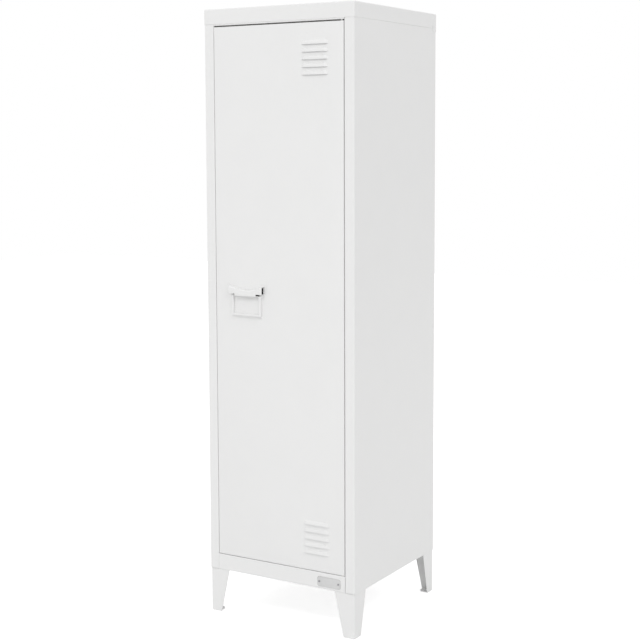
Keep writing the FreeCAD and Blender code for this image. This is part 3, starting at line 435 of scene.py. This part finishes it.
# %% Modifiers, joins, cuts and copies
def choose(piece):
    """Makes a piece the only selected object, and the active one."""
    bpy.ops.object.select_all(action="DESELECT")
    piece.select_set(True)
    bpy.context.view_layer.objects.active = piece


def apply_modifier(piece, kind, **settings):
    """Adds a modifier, sets it up and applies it."""
    choose(piece)
    modifier = piece.modifiers.new(kind.lower(), kind)
    for name, value in settings.items():
        setattr(modifier, name, value)
    bpy.ops.object.modifier_apply(modifier=modifier.name)


def join_pieces(piece, others):
    """Makes other objects part of a piece's mesh."""
    choose(piece)
    for other in others:
        other.select_set(True)
    bpy.ops.object.join()


def cut_out(piece, punch):
    """Cuts a closed shape out of a piece, and deletes that shape."""
    apply_modifier(piece, "BOOLEAN", operation="DIFFERENCE", object=punch, solver="EXACT")
    bpy.data.objects.remove(punch)


def copy_piece(piece, shift):
    """A copy of a piece with a mesh of its own, moved by a shift."""
    choose(piece)
    bpy.ops.object.duplicate(linked=False)
    bpy.ops.transform.translate(value=shift)
    bpy.ops.object.transform_apply(location=True, rotation=True, scale=True)
    return bpy.context.object


print("pieces can be changed")

# %% [markdown]
# ## Finishing a piece
#
# A finished piece gets the finish of its slot and is shaded smooth, except across folds that are sharper
# than an angle. It rides on its body, so it moves when that does, and it takes over from the solid that
# stood for it. All sizes that a piece shares with the locker are read from the solids, such as where the
# front is.

# %% Finish, body and solid
SMOOTH_UP_TO = radians(32)


def finish_piece(piece, name, slot, body, *solids):
    """Names a piece and gives it its finish, its body and the solids that it takes over from."""
    choose(piece)
    piece.name = name
    piece.data.materials.clear()
    piece.data.materials.append(finishes[slot])
    bpy.ops.object.shade_smooth_by_angle(angle=SMOOTH_UP_TO)
    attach(piece, body)
    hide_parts(*solids)
    print(name, "has", len(piece.data.polygons), "faces")


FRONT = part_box("left_side_panel")[0].y
print("front of the locker:", round(FRONT, 4), "m")

# %% [markdown]
# ## Louvres
#
# Each louvre is cut and pressed in one stroke: the tool slits the sheet along a line and pushes the sheet
# above the slit outwards, so the metal stretches into a hood that fades away to its ends. A box stuck on
# the door would miss those soft slopes. So a fine grid is slit along one row, and only the points above
# the slit are pulled out with proportional editing, which fades the pull smoothly over the connected
# points around them. One louvre is made this way, and an Array modifier stacks five of them into a panel.

# %% One louvre, and a panel of five
LOUVRE_WIDTH = 66 * MM
LOUVRE_HEIGHT = 8 * MM
LOUVRE_REACH = 2.6 * MM
LOUVRE_PITCH = 16 * MM
LOUVRE_COUNT = 5
GRID_COLUMN = 1.5 * MM
GRID_ROW = 0.8 * MM
PANEL_WIDTH = LOUVRE_WIDTH + 6 * GRID_COLUMN
SHEET_BELOW = 4 * GRID_ROW


def louvre_panel(x, lowest_slit):
    """Flat panel with five hoods, centred on x, with its lowest slit at one height."""
    centre = Vector((x, FRONT, lowest_slit - SHEET_BELOW + LOUVRE_PITCH / 2))
    columns = round(PANEL_WIDTH / GRID_COLUMN)
    rows = round(LOUVRE_PITCH / GRID_ROW)
    panel = start_upright_grid(centre, PANEL_WIDTH, LOUVRE_PITCH, columns, rows)

    def on_slit(point, half_width):
        return abs(point.co.z - lowest_slit) < CLOSE and abs(point.co.x - x) < half_width + CLOSE

    pick("EDGE", lambda edge: all(on_slit(point, LOUVRE_WIDTH / 2) for point in edge.verts))
    bpy.ops.mesh.edge_split(type="EDGE")

    def on_hood_edge(point):
        above_slit = all(middle(face).z > lowest_slit for face in point.link_faces)
        return above_slit and on_slit(point, LOUVRE_WIDTH / 2 - LOUVRE_HEIGHT)

    pick("VERT", on_hood_edge)
    bpy.ops.transform.translate(
        value=(0.0, -LOUVRE_REACH, 0.0), use_proportional_edit=True, use_proportional_connected=True,
        proportional_edit_falloff="SPHERE", proportional_size=LOUVRE_HEIGHT,
    )
    bpy.ops.object.mode_set(mode="OBJECT")
    apply_modifier(
        panel, "ARRAY", count=LOUVRE_COUNT, use_relative_offset=False, use_constant_offset=True,
        constant_offset_displace=(0.0, 0.0, LOUVRE_PITCH), use_merge_vertices=True, merge_threshold=CLOSE,
    )
    return panel


print("louvre panel:", round(PANEL_WIDTH / MM), "by", round(LOUVRE_COUNT * LOUVRE_PITCH / MM), "mm")

# %% Two panels for the door
LOUVRE_SIDE = 37.3 * MM
LOUVRE_END = 37.7 * MM
door_low, door_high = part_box("door_skin")
louvre_x = door_high.x - LOUVRE_SIDE - LOUVRE_WIDTH / 2
lower_slit = door_low.z + LOUVRE_END
upper_slit = door_high.z - LOUVRE_END - LOUVRE_HEIGHT - LOUVRE_PITCH * (LOUVRE_COUNT - 1)
louvre_panels = [louvre_panel(louvre_x, slit) for slit in (lower_slit, upper_slit)]
print("louvre panels:", [len(panel.data.polygons) for panel in louvre_panels])

# %% [markdown]
# ## Finger hole
#
# Under the hood of the pull the door has a long hole, so that finger tips can hook in. Its upper edge
# dips in the middle as the hood does, and a narrower slot runs down from it. Only its outline is needed,
# because the sheet gets filled in round it. The upper points of a grid are pulled down in the middle,
# with a falloff that makes the edge a parabola. The lower points are hidden meanwhile, and hidden points
# stay where they are.

# %% Two moves that the hole and the pull share
def dip_upper_points(x, half_width, dip, is_upper):
    """Lowers the middle of the upper points, less and less towards the ends."""
    pick("VERT", lambda point: not is_upper(point))
    bpy.ops.mesh.hide()
    pick("VERT", lambda point: is_upper(point) and abs(point.co.x - x) < CLOSE)
    bpy.ops.transform.translate(
        value=(0.0, 0.0, -dip), use_proportional_edit=True,
        proportional_edit_falloff="INVERSE_SQUARE", proportional_size=half_width,
    )
    bpy.ops.mesh.reveal(select=False)


def drop_lower_edge(x, half_width, foot, drop):
    """Extrudes the middle of the lower edge downwards."""
    def in_the_middle(point):
        return abs(point.co.z - foot) < CLOSE and abs(point.co.x - x) < half_width + CLOSE

    pick("EDGE", lambda edge: all(in_the_middle(point) for point in edge.verts))
    bpy.ops.mesh.extrude_region_move(TRANSFORM_OT_translate={"value": (0.0, 0.0, -drop)})


pull_low, pull_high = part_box("pull")
pull_x = (pull_low.x + pull_high.x) / 2
lip_half = (pull_high.x - pull_low.x) / 2
lip_top = pull_high.z
print("pull:", round(2 * lip_half / MM, 1), "mm wide, its top at", round(lip_top, 4), "m")

# %% The outline of the hole
LIP_HEIGHT = 18.5 * MM
LIP_DIP = 9.5 * MM
HOLE_SIDE = 2 * MM
HOLE_RISE = 0.5 * MM
HOLE_UNDER_TOP = 3.5 * MM
HOLE_COLUMNS = 42
SLOT_HALF = 32 * MM
SLOT_DROP = 4 * MM
lip_foot = lip_top - LIP_HEIGHT
hole_half = lip_half - HOLE_SIDE
hole_foot = lip_foot + HOLE_RISE
hole_top = lip_top - HOLE_UNDER_TOP
slot_foot = lip_foot - SLOT_DROP

hole_middle = Vector((pull_x, FRONT, (hole_foot + hole_top) / 2))
finger_hole = start_upright_grid(hole_middle, 2 * hole_half, hole_top - hole_foot, HOLE_COLUMNS, 1)
dip_upper_points(pull_x, hole_half, LIP_DIP, lambda point: point.co.z > hole_foot + CLOSE)
drop_lower_edge(pull_x, SLOT_HALF, hole_foot, hole_foot - slot_foot)
pick("EDGE", lambda edge: len(edge.link_faces) == 2)
bpy.ops.mesh.delete(type="EDGE_FACE")
bpy.ops.object.mode_set(mode="OBJECT")
print("finger hole:", len(finger_hole.data.edges), "edges")

# %% [markdown]
# ## Door
#
# The door is a shallow pan folded from one sheet: a front, four walls and a lip turned in round the back.
# A box gets those in three steps: the back face is inset and its middle deleted, and the front edges are
# bevelled to the radius of the fold. Boolean cuts could make the openings, but they can't make hoods that
# grow out of the sheet. So the front face is taken out and filled again between its rim, the louvre
# panels and the finger hole, and all of it is one surface. Solidify gives the sheet its thickness at the
# end, and with it the hoods get their thin edges.

# %% Fold the pan
DOOR_LIP = 14 * MM
DOOR_EDGE = 2 * MM

door = start_box(Vector((door_low.x, FRONT, door_low.z)), door_high)
pick("FACE", looks(-FORWARD))
bpy.ops.mesh.inset(thickness=DOOR_LIP)
bpy.ops.mesh.delete(type="FACE")
pick("EDGE", lambda edge: abs(middle(edge).y - FRONT) < CLOSE)
bpy.ops.mesh.bevel(offset=DOOR_EDGE, offset_type="OFFSET", segments=4, affect="EDGES")
pick("FACE", looks(FORWARD))
bpy.ops.mesh.delete(type="FACE")
bpy.ops.object.mode_set(mode="OBJECT")
print("pan:", len(door.data.polygons), "faces")

# %% Fill the front round the louvres and the finger hole
panel_heights = []
for panel in louvre_panels:
    heights = [vert.co.z for vert in panel.data.vertices]
    panel_heights.append((min(heights), max(heights)))


def inside_a_panel(place):
    """Tests whether a place lies within the outline of a louvre panel."""
    beside = abs(place.x - louvre_x) < PANEL_WIDTH / 2 - CLOSE
    return beside and any(low + CLOSE < place.z < high - CLOSE for low, high in panel_heights)


def bounds_the_front(edge):
    """Tests whether an edge lies round the open front, and isn't a slit of a louvre."""
    on_front = all(abs(vert.co.y - FRONT) < CLOSE for vert in edge.verts)
    return on_front and len(edge.link_faces) < 2 and not inside_a_panel(middle(edge))


join_pieces(door, [*louvre_panels, finger_hole])
bpy.ops.object.mode_set(mode="EDIT")
pick("EDGE", bounds_the_front)
bpy.ops.mesh.fill(use_beauty=True)
bpy.ops.mesh.select_all(action="SELECT")
bpy.ops.mesh.remove_doubles(threshold=CLOSE)
bpy.ops.mesh.normals_make_consistent(inside=False)
bpy.ops.object.mode_set(mode="OBJECT")
flat_front = filter(looks(FORWARD), door.data.polygons)
print("flat front of the door:", round(sum(face.area for face in flat_front), 4), "square metres")

# %% Give the sheet its thickness and its hinge holes
SHEET = 0.8 * MM
HINGE_SIDE = 6.5 * MM
HINGE_DEPTH = 5.5 * MM
BOTTOM_HOLE = 3.05 * MM
TOP_HOLE = 2.05 * MM
PUNCH_LENGTH = 4 * MM
hinge_x = door_high.x - HINGE_SIDE
hinge_y = FRONT + HINGE_DEPTH

apply_modifier(door, "SOLIDIFY", thickness=SHEET, offset=-1.0, use_even_offset=True)
for radius, z in ((BOTTOM_HOLE, door_low.z), (TOP_HOLE, door_high.z)):
    cut_out(door, start_cylinder(Vector((hinge_x, hinge_y, z)), radius, PUNCH_LENGTH))
finish_piece(door, "louvred_door", "body_paint", "door", "door_skin")

# %% [markdown]
# ## Pull
#
# The pull is one pressing: a hood for the fingers, with its ends open, and under it a frame for a label
# card. Blocks melted together would lose the even thickness of the sheet, so the hood is folded as the
# real one is. It starts as the flat lip in front. Spin turns its upper edge back through a quarter
# circle, and one extrusion makes the roof, which rises a little to the door. Then the upper points dip as
# in the finger hole, and the middle of the lip is drawn down into a tab. The hood's back wall can't be
# seen, so it is left out.

# %% Fold the hood
LIP_ROLL = 2.5 * MM
ROOF_RISE = 1.2 * MM
TAB_HALF = 28 * MM
TAB_DROP = 5 * MM
HOOD_COLUMNS = 44
lip_front = pull_low.y
roll_z = lip_top - ROOF_RISE - LIP_ROLL
roof_depth = FRONT - lip_front - LIP_ROLL

lip_middle = Vector((pull_x, lip_front, (lip_foot + roll_z) / 2))
hood = start_upright_grid(lip_middle, 2 * lip_half, roll_z - lip_foot, HOOD_COLUMNS, 1)
pick("EDGE", lambda edge: all(abs(point.co.z - roll_z) < CLOSE for point in edge.verts))
bpy.ops.mesh.spin(
    steps=8, angle=pi / 2, center=(pull_x, lip_front + LIP_ROLL, roll_z), axis=(1.0, 0.0, 0.0)
)
bpy.ops.mesh.extrude_region_move(TRANSFORM_OT_translate={"value": (0.0, roof_depth, ROOF_RISE)})
dip_upper_points(pull_x, lip_half, LIP_DIP, lambda point: point.co.z > lip_foot + CLOSE)
drop_lower_edge(pull_x, TAB_HALF, lip_foot, TAB_DROP)
bpy.ops.mesh.select_all(action="SELECT")
bpy.ops.mesh.remove_doubles(threshold=CLOSE)
bpy.ops.mesh.normals_make_consistent(inside=False)
bpy.ops.object.mode_set(mode="OBJECT")
print("hood:", sum(map(looks(FORWARD), hood.data.polygons)), "faces to the front")

# %% Give the hood its thickness
PULL_SHEET = 1.2 * MM
HOOD_RIM = 0.35 * MM
SHARP = radians(50)
apply_modifier(hood, "SOLIDIFY", thickness=PULL_SHEET, offset=-1.0, use_even_offset=True)
apply_modifier(hood, "BEVEL", width=HOOD_RIM, segments=2, limit_method="ANGLE", angle_limit=SHARP)
print("hood:", [round(value / MM, 1) for value in hood.dimensions], "mm")

# %% [markdown]
# The label frame has a plate on the door and thick round bars at its sides and foot. It grows out of the
# bottom bar: the bar's top is divided by bisecting, and its parts are extruded up to their own heights.
# So the card can slide in from above. Only the front edges get the wide bevel, because the plate is thin.

# %% Tests for the parts of the label frame
FRAME_HALF = 38.5 * MM
FRAME_BAR = 5.5 * MM
FRAME_REACH = 6 * MM
frame_front = FRONT - FRAME_REACH
plate_front = FRONT - PULL_SHEET
window_half = FRAME_HALF - FRAME_BAR
bar_top = pull_low.z + FRAME_BAR


def outside_window(place):
    """Tests whether a place belongs to the side bars or the plate."""
    return abs(place.x - pull_x) > window_half or place.y > plate_front


def at_the_sides(place):
    """Tests whether a place lies beside the window, in a bar or in the plate behind it."""
    return abs(place.x - pull_x) > window_half


def is_front_rim(edge):
    """Tests whether an edge is a sharp one at the front of the frame."""
    at_front = all(point.co.y < frame_front + CLOSE for point in edge.verts)
    return at_front and edge.calc_face_angle(0.0) > SHARP


def raise_parts(is_raised, z, new_z):
    """Extrudes the upward faces at one height that pass a test up to a new height."""
    is_top = looks(UP)

    def is_wanted(face):
        return is_top(face) and abs(middle(face).z - z) < CLOSE and is_raised(middle(face))

    pick("FACE", is_wanted)
    bpy.ops.mesh.extrude_region_move(TRANSFORM_OT_translate={"value": (0.0, 0.0, new_z - z)})


print("label window:", round(2 * window_half / MM, 1), "mm wide")

# %% Raise the label frame and join it to the hood
BAR_NOTCH = 2.8 * MM
BAR_ROUND = 1.6 * MM
bar_low = Vector((pull_x - FRAME_HALF, frame_front, pull_low.z))
bar_high = Vector((pull_x + FRAME_HALF, FRONT, bar_top))
cuts = [
    ((pull_x - window_half, 0.0, 0.0), (1.0, 0.0, 0.0)),
    ((pull_x + window_half, 0.0, 0.0), (1.0, 0.0, 0.0)),
    ((0.0, plate_front, 0.0), (0.0, 1.0, 0.0)),
]

label_frame = start_box(bar_low, bar_high)
for place, normal in cuts:
    bpy.ops.mesh.select_all(action="SELECT")
    bpy.ops.mesh.bisect(plane_co=place, plane_no=normal)
raise_parts(outside_window, bar_top, slot_foot)
raise_parts(at_the_sides, slot_foot, lip_foot - BAR_NOTCH)
pick("EDGE", is_front_rim)
bpy.ops.mesh.bevel(offset=BAR_ROUND, segments=4, affect="EDGES")
bpy.ops.object.mode_set(mode="OBJECT")
join_pieces(hood, [label_frame])
finish_piece(hood, "finger_pull", "body_paint", "door", "pull")

# %% [markdown]
# ## Nameplate
#
# A thin aluminium plate with round corners is riveted to the bottom rail. It is left bare. The box of its
# solid gets its corners bevelled first and the rim of its face after that, because a bevel follows the
# outline that it finds. It is held by blind rivets: each is a short cylinder whose rim is bevelled into a
# dome, with the small hole in the middle that is left when the pin of such a rivet breaks off. The second
# one is a copy.

# %% The plate
PLATE_CORNER = 4 * MM
PLATE_RIM = 0.3 * MM
plate_low, plate_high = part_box("nameplate")

plate = start_box(plate_low, plate_high)
pick("EDGE", lambda edge: abs(edge.verts[0].co.y - edge.verts[1].co.y) > CLOSE)
bpy.ops.mesh.bevel(offset=PLATE_CORNER, segments=6, affect="EDGES")
pick("FACE", looks(FORWARD))
bpy.ops.mesh.region_to_loop()
bpy.ops.mesh.bevel(offset=PLATE_RIM, segments=2, affect="EDGES")
bpy.ops.object.mode_set(mode="OBJECT")
finish_piece(plate, "bare_nameplate", "nameplate_metal", "cabinet", "nameplate")

# %% Two rivets through the plate
RIVET_HEAD = 2.4 * MM
RIVET_HEIGHT = 1.0 * MM
RIVET_DOME = 0.85 * MM
RIVET_WALL = 0.25 * MM
RIVET_HOLE_DEPTH = 0.8 * MM
rivet_low, rivet_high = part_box("nameplate_rivets")
rivet_z = (rivet_low.z + rivet_high.z) / 2
rivet_middle = Vector((rivet_low.x + RIVET_HEAD, rivet_low.y + RIVET_HEIGHT / 2, rivet_z))


def at_front_of(y):
    """Makes the test whether an edge lies in the front end of a cylinder."""
    return lambda edge: all(abs(point.co.y - y) < CLOSE for point in edge.verts)


rivet = start_cylinder(rivet_middle, RIVET_HEAD, RIVET_HEIGHT, turn=TO_THE_FRONT)
bpy.ops.object.mode_set(mode="EDIT")
pick("EDGE", at_front_of(rivet_low.y))
bpy.ops.mesh.bevel(offset=RIVET_DOME, segments=5, affect="EDGES")
pick("FACE", looks(FORWARD))
bpy.ops.mesh.inset(thickness=RIVET_WALL)
bpy.ops.mesh.extrude_region_move(TRANSFORM_OT_translate={"value": (0.0, RIVET_HOLE_DEPTH, 0.0)})
bpy.ops.object.mode_set(mode="OBJECT")
second_rivet = copy_piece(rivet, (rivet_high.x - rivet_low.x - 2 * RIVET_HEAD, 0.0, 0.0))
join_pieces(rivet, [second_rivet])
finish_piece(rivet, "nameplate_rivet_heads", "rivet_metal", "cabinet", "nameplate_rivets")

# %% [markdown]
# ## Feet
#
# Under each leg a small square plastic pad keeps the steel off the floor. It is moulded with round
# corners, a softened lower edge and a hole that hides the head of its screw. A Boolean suits that hole,
# because it is plain and sits in a flat face. One pad is shaped and three copies are moved to the other
# legs.

# %% One pad and three copies
PAD_CORNER = 4 * MM
PAD_RIM = 0.8 * MM
PAD_HOLE = 3.9 * MM
PAD_HOLE_DEPTH = 2.4 * MM
CORNERS = ("front_left", "front_right", "rear_left", "rear_right")
pad_low, pad_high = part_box("foot_pad_front_left")
pad_middle = (pad_low + pad_high) / 2

pad = start_box(pad_low, pad_high)
pick("EDGE", lambda edge: abs(edge.verts[0].co.z - edge.verts[1].co.z) > CLOSE)
bpy.ops.mesh.bevel(offset=PAD_CORNER, segments=6, affect="EDGES")
pick("FACE", looks(-UP))
bpy.ops.mesh.region_to_loop()
bpy.ops.mesh.bevel(offset=PAD_RIM, segments=3, affect="EDGES")
bpy.ops.object.mode_set(mode="OBJECT")
hole_place = Vector((pad_middle.x, pad_middle.y, pad_low.z))
cut_out(pad, start_cylinder(hole_place, PAD_HOLE, 2 * PAD_HOLE_DEPTH, sides=40))
pads = [pad]
for corner in CORNERS[1:]:
    pads.append(copy_piece(pad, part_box(f"foot_pad_{corner}")[0] - pad_low))
for foot, corner in zip(pads, CORNERS):
    finish_piece(foot, f"foot_pad_moulded_{corner}", "foot_plastic", "cabinet", f"foot_pad_{corner}")

# %% [markdown]
# ## Door buffers
#
# Two soft dots on the stop keep the door from rattling. Each is a small cylinder whose free rim is
# bevelled into a dome. A ball cut in half would be too high for its width.

# %% Two soft dots
BUFFER_DOME = 1.4 * MM
buffer_low, buffer_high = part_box("door_buffers")
buffer_radius = (buffer_high.x - buffer_low.x) / 2
buffer_depth = buffer_high.y - buffer_low.y
dot_middle = buffer_low + Vector((buffer_radius, buffer_depth / 2, buffer_radius))

dot = start_cylinder(dot_middle, buffer_radius, buffer_depth, turn=TO_THE_FRONT)
bpy.ops.object.mode_set(mode="EDIT")
pick("EDGE", at_front_of(buffer_low.y))
bpy.ops.mesh.bevel(offset=BUFFER_DOME, segments=5, affect="EDGES")
bpy.ops.object.mode_set(mode="OBJECT")
upper_dot = copy_piece(dot, (0.0, 0.0, buffer_high.z - buffer_low.z - 2 * buffer_radius))
join_pieces(dot, [upper_dot])
finish_piece(dot, "soft_door_buffers", "buffer_rubber", "cabinet", "door_buffers")

# %% [markdown]
# ## Spring of the top pin
#
# A coil of wire pushes the top hinge pin up into its bush, and it shortens when the pin is drawn down to
# lift the door off. A stiff solid can't do that, so the coil is made again as a mesh of its own. A ring
# of the wire's thickness stands beside the axis, and a Screw modifier turns it round and lifts it at each
# turn. The modifier works about the object's own origin, so that stays on the axis until the coil is
# done.

# %% Wind the coil
WIRE_RADIUS = 0.4 * MM
COIL_TURNS = 7
STEPS_PER_TURN = 24
spring_low, spring_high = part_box("pin_spring")
spring_foot = Vector((hinge_x, hinge_y, spring_low.z))
spring_length = spring_high.z - spring_low.z
coil_radius = (spring_high.x - spring_low.x) / 2 - WIRE_RADIUS
coil_pitch = (spring_length - 2 * WIRE_RADIUS) / COIL_TURNS

bpy.ops.object.select_all(action="DESELECT")
bpy.ops.mesh.primitive_circle_add(
    vertices=10, radius=WIRE_RADIUS, rotation=TO_THE_FRONT,
    location=spring_foot + Vector((0.0, 0.0, WIRE_RADIUS)),
)
spring = bpy.context.object
bpy.ops.object.transform_apply(location=False, rotation=True, scale=True)
bpy.ops.object.mode_set(mode="EDIT")
bpy.ops.mesh.select_all(action="SELECT")
bpy.ops.transform.translate(value=(coil_radius, 0.0, 0.0))
bpy.ops.object.mode_set(mode="OBJECT")
apply_modifier(
    spring, "SCREW", axis="Z", angle=2 * pi, screw_offset=coil_pitch, iterations=COIL_TURNS,
    steps=STEPS_PER_TURN, render_steps=STEPS_PER_TURN,
)
bpy.ops.object.mode_set(mode="EDIT")
bpy.ops.mesh.select_all(action="SELECT")
bpy.ops.mesh.fill_holes(sides=0)
bpy.ops.mesh.normals_make_consistent(inside=False)
bpy.ops.object.mode_set(mode="OBJECT")
bpy.ops.object.transform_apply(location=True, rotation=True, scale=True)
print("coil:", round(spring_length / MM, 1), "mm long,", round(coil_pitch / MM, 2), "mm a turn")

# %% Finish the coil and give it a mesh of its own
finish_piece(spring, "coil_spring", "zinc_steel", "door", "pin_spring")
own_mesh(spring)

# %% [markdown]
# ## Floor
#
# A studio shot stands on a pale floor that runs out to white. More light would whiten it too, but it
# would bleach the locker as well. So the floor is a plain diffuse plane with a little light of its own
# that only the camera and reflections see. It looks white where nothing shades it, and still keeps the
# soft shadow under the locker.

# %% A pale floor that keeps the shadow
FLOOR_SIZE = 14.0
FLOOR_COLOUR = (0.86, 0.86, 0.86, 1.0)
FLOOR_LIFT = 0.60


def seen_directly(tree):
    """1 for rays from the camera, a reflection or a clear piece, and 0 for rays that only carry light."""
    path = tree.nodes.new("ShaderNodeLightPath")
    camera_ray = Signal(path.outputs["Is Camera Ray"])
    glossy_ray = Signal(path.outputs["Is Glossy Ray"])
    clear_ray = Signal(path.outputs["Is Transmission Ray"])
    camera_or_glossy = camera_ray.math("MAXIMUM", camera_ray, glossy_ray)
    return camera_ray.math("MAXIMUM", camera_or_glossy, clear_ray)


def floor_finish():
    """Matt pale paint that looks a little brighter than it is."""
    material, shader, _ = new_finish("pale_floor")
    shader.inputs["Base Color"].default_value = FLOOR_COLOUR
    shader.inputs["Roughness"].default_value = 0.9
    shader.inputs["Specular IOR Level"].default_value = 0.0
    shader.inputs["Emission Strength"].default_value = 1.0
    feed(shader.inputs["Emission Color"], FLOOR_LIFT * seen_directly(material.node_tree))
    return material


bpy.ops.object.select_all(action="DESELECT")
bpy.ops.mesh.primitive_plane_add(size=FLOOR_SIZE, location=(0.0, 0.0, 0.0))
floor = bpy.context.object
floor.name = "floor"
floor.data.materials.append(floor_finish())
print("floor:", FLOOR_SIZE, "m across")

# %% [markdown]
# ## Light
#
# Catalogue light is nearly even: a white room all round, with a few soft lamps that only add a little
# shape. One high in front makes the door a shade brighter than the sides and draws the louvres. One high
# on the right draws the line under the lid and the slopes of the pull. A weak one near the floor reaches
# the legs. The two high lamps stand far off, so the top is hardly brighter than the foot. The room is a
# world that shows the camera pure white, while the light it sheds on the locker is lower, so the paint
# doesn't clip.

# %% A white room
ROOM_LIGHT = 0.74


def white_room():
    """A world that looks white, and sheds a little less light than that."""
    world = bpy.data.worlds.new("white_room")
    world.use_nodes = True
    background = world.node_tree.nodes["Background"]
    background.inputs["Color"].default_value = (1.0, 1.0, 1.0, 1.0)
    seen = seen_directly(world.node_tree)
    feed(background.inputs["Strength"], seen + (1 - seen) * ROOM_LIGHT)
    return world


bpy.context.scene.world = white_room()
print("room: looks white and sheds", ROOM_LIGHT, "of that")

# %% Three soft lamps
def soft_lamp(name, place, target, size, power):
    """A square lamp that faces a target, with its side in metres and its power in watts."""
    facing = (Vector(target) - Vector(place)).to_track_quat("-Z", "Y").to_euler()
    bpy.ops.object.light_add(type="AREA", location=place, rotation=facing)
    lamp = bpy.context.object
    lamp.name = name
    lamp.data.size = size
    lamp.data.energy = power


soft_lamp("front_lamp", place=(-1.0, -8.3, 9.5), target=(0.0, -0.1, 0.75), size=2.0, power=225.0)
soft_lamp("right_lamp", place=(8.0, -4.2, 9.2), target=(0.0, 0.0, 0.75), size=4.0, power=195.0)
soft_lamp("low_lamp", place=(-1.2, -4.2, 0.35), target=(0.0, 0.0, 0.05), size=1.6, power=7.5)

# %% [markdown]
# ## Camera
#
# The picture was taken from the right of the front, a little above the middle, with a long lens. The
# angles and the place come from fitting the locker's corners to the picture, so they are typed in as they
# were found. Blender counts the lens and the sensor in millimetres, and the drop in widths of the sensor.

# %% The picture's viewpoint
CAMERA_PLACE = Vector((1.5931, FRONT - 2.4692, 1.0796))
CAMERA_YAW = radians(31.069)
CAMERA_DOWN = radians(5.621)
CAMERA_ROLL = radians(-0.196)
CAMERA_LENS = 76.48
CAMERA_SENSOR = 36.0
CAMERA_DROP = 0.0764

level = Matrix.Rotation(CAMERA_YAW, 3, "Z") @ Matrix.Rotation(pi / 2 - CAMERA_DOWN, 3, "X")
facing = (level @ Matrix.Rotation(CAMERA_ROLL, 3, "Z")).to_euler()
bpy.ops.object.camera_add(location=CAMERA_PLACE, rotation=facing)
camera = bpy.context.object
camera.data.lens = CAMERA_LENS
camera.data.sensor_width = CAMERA_SENSOR
camera.data.shift_y = -CAMERA_DROP
bpy.context.scene.camera = camera
bpy.context.scene.view_settings.view_transform = "Standard"
print("camera:", [round(value, 3) for value in camera.location])
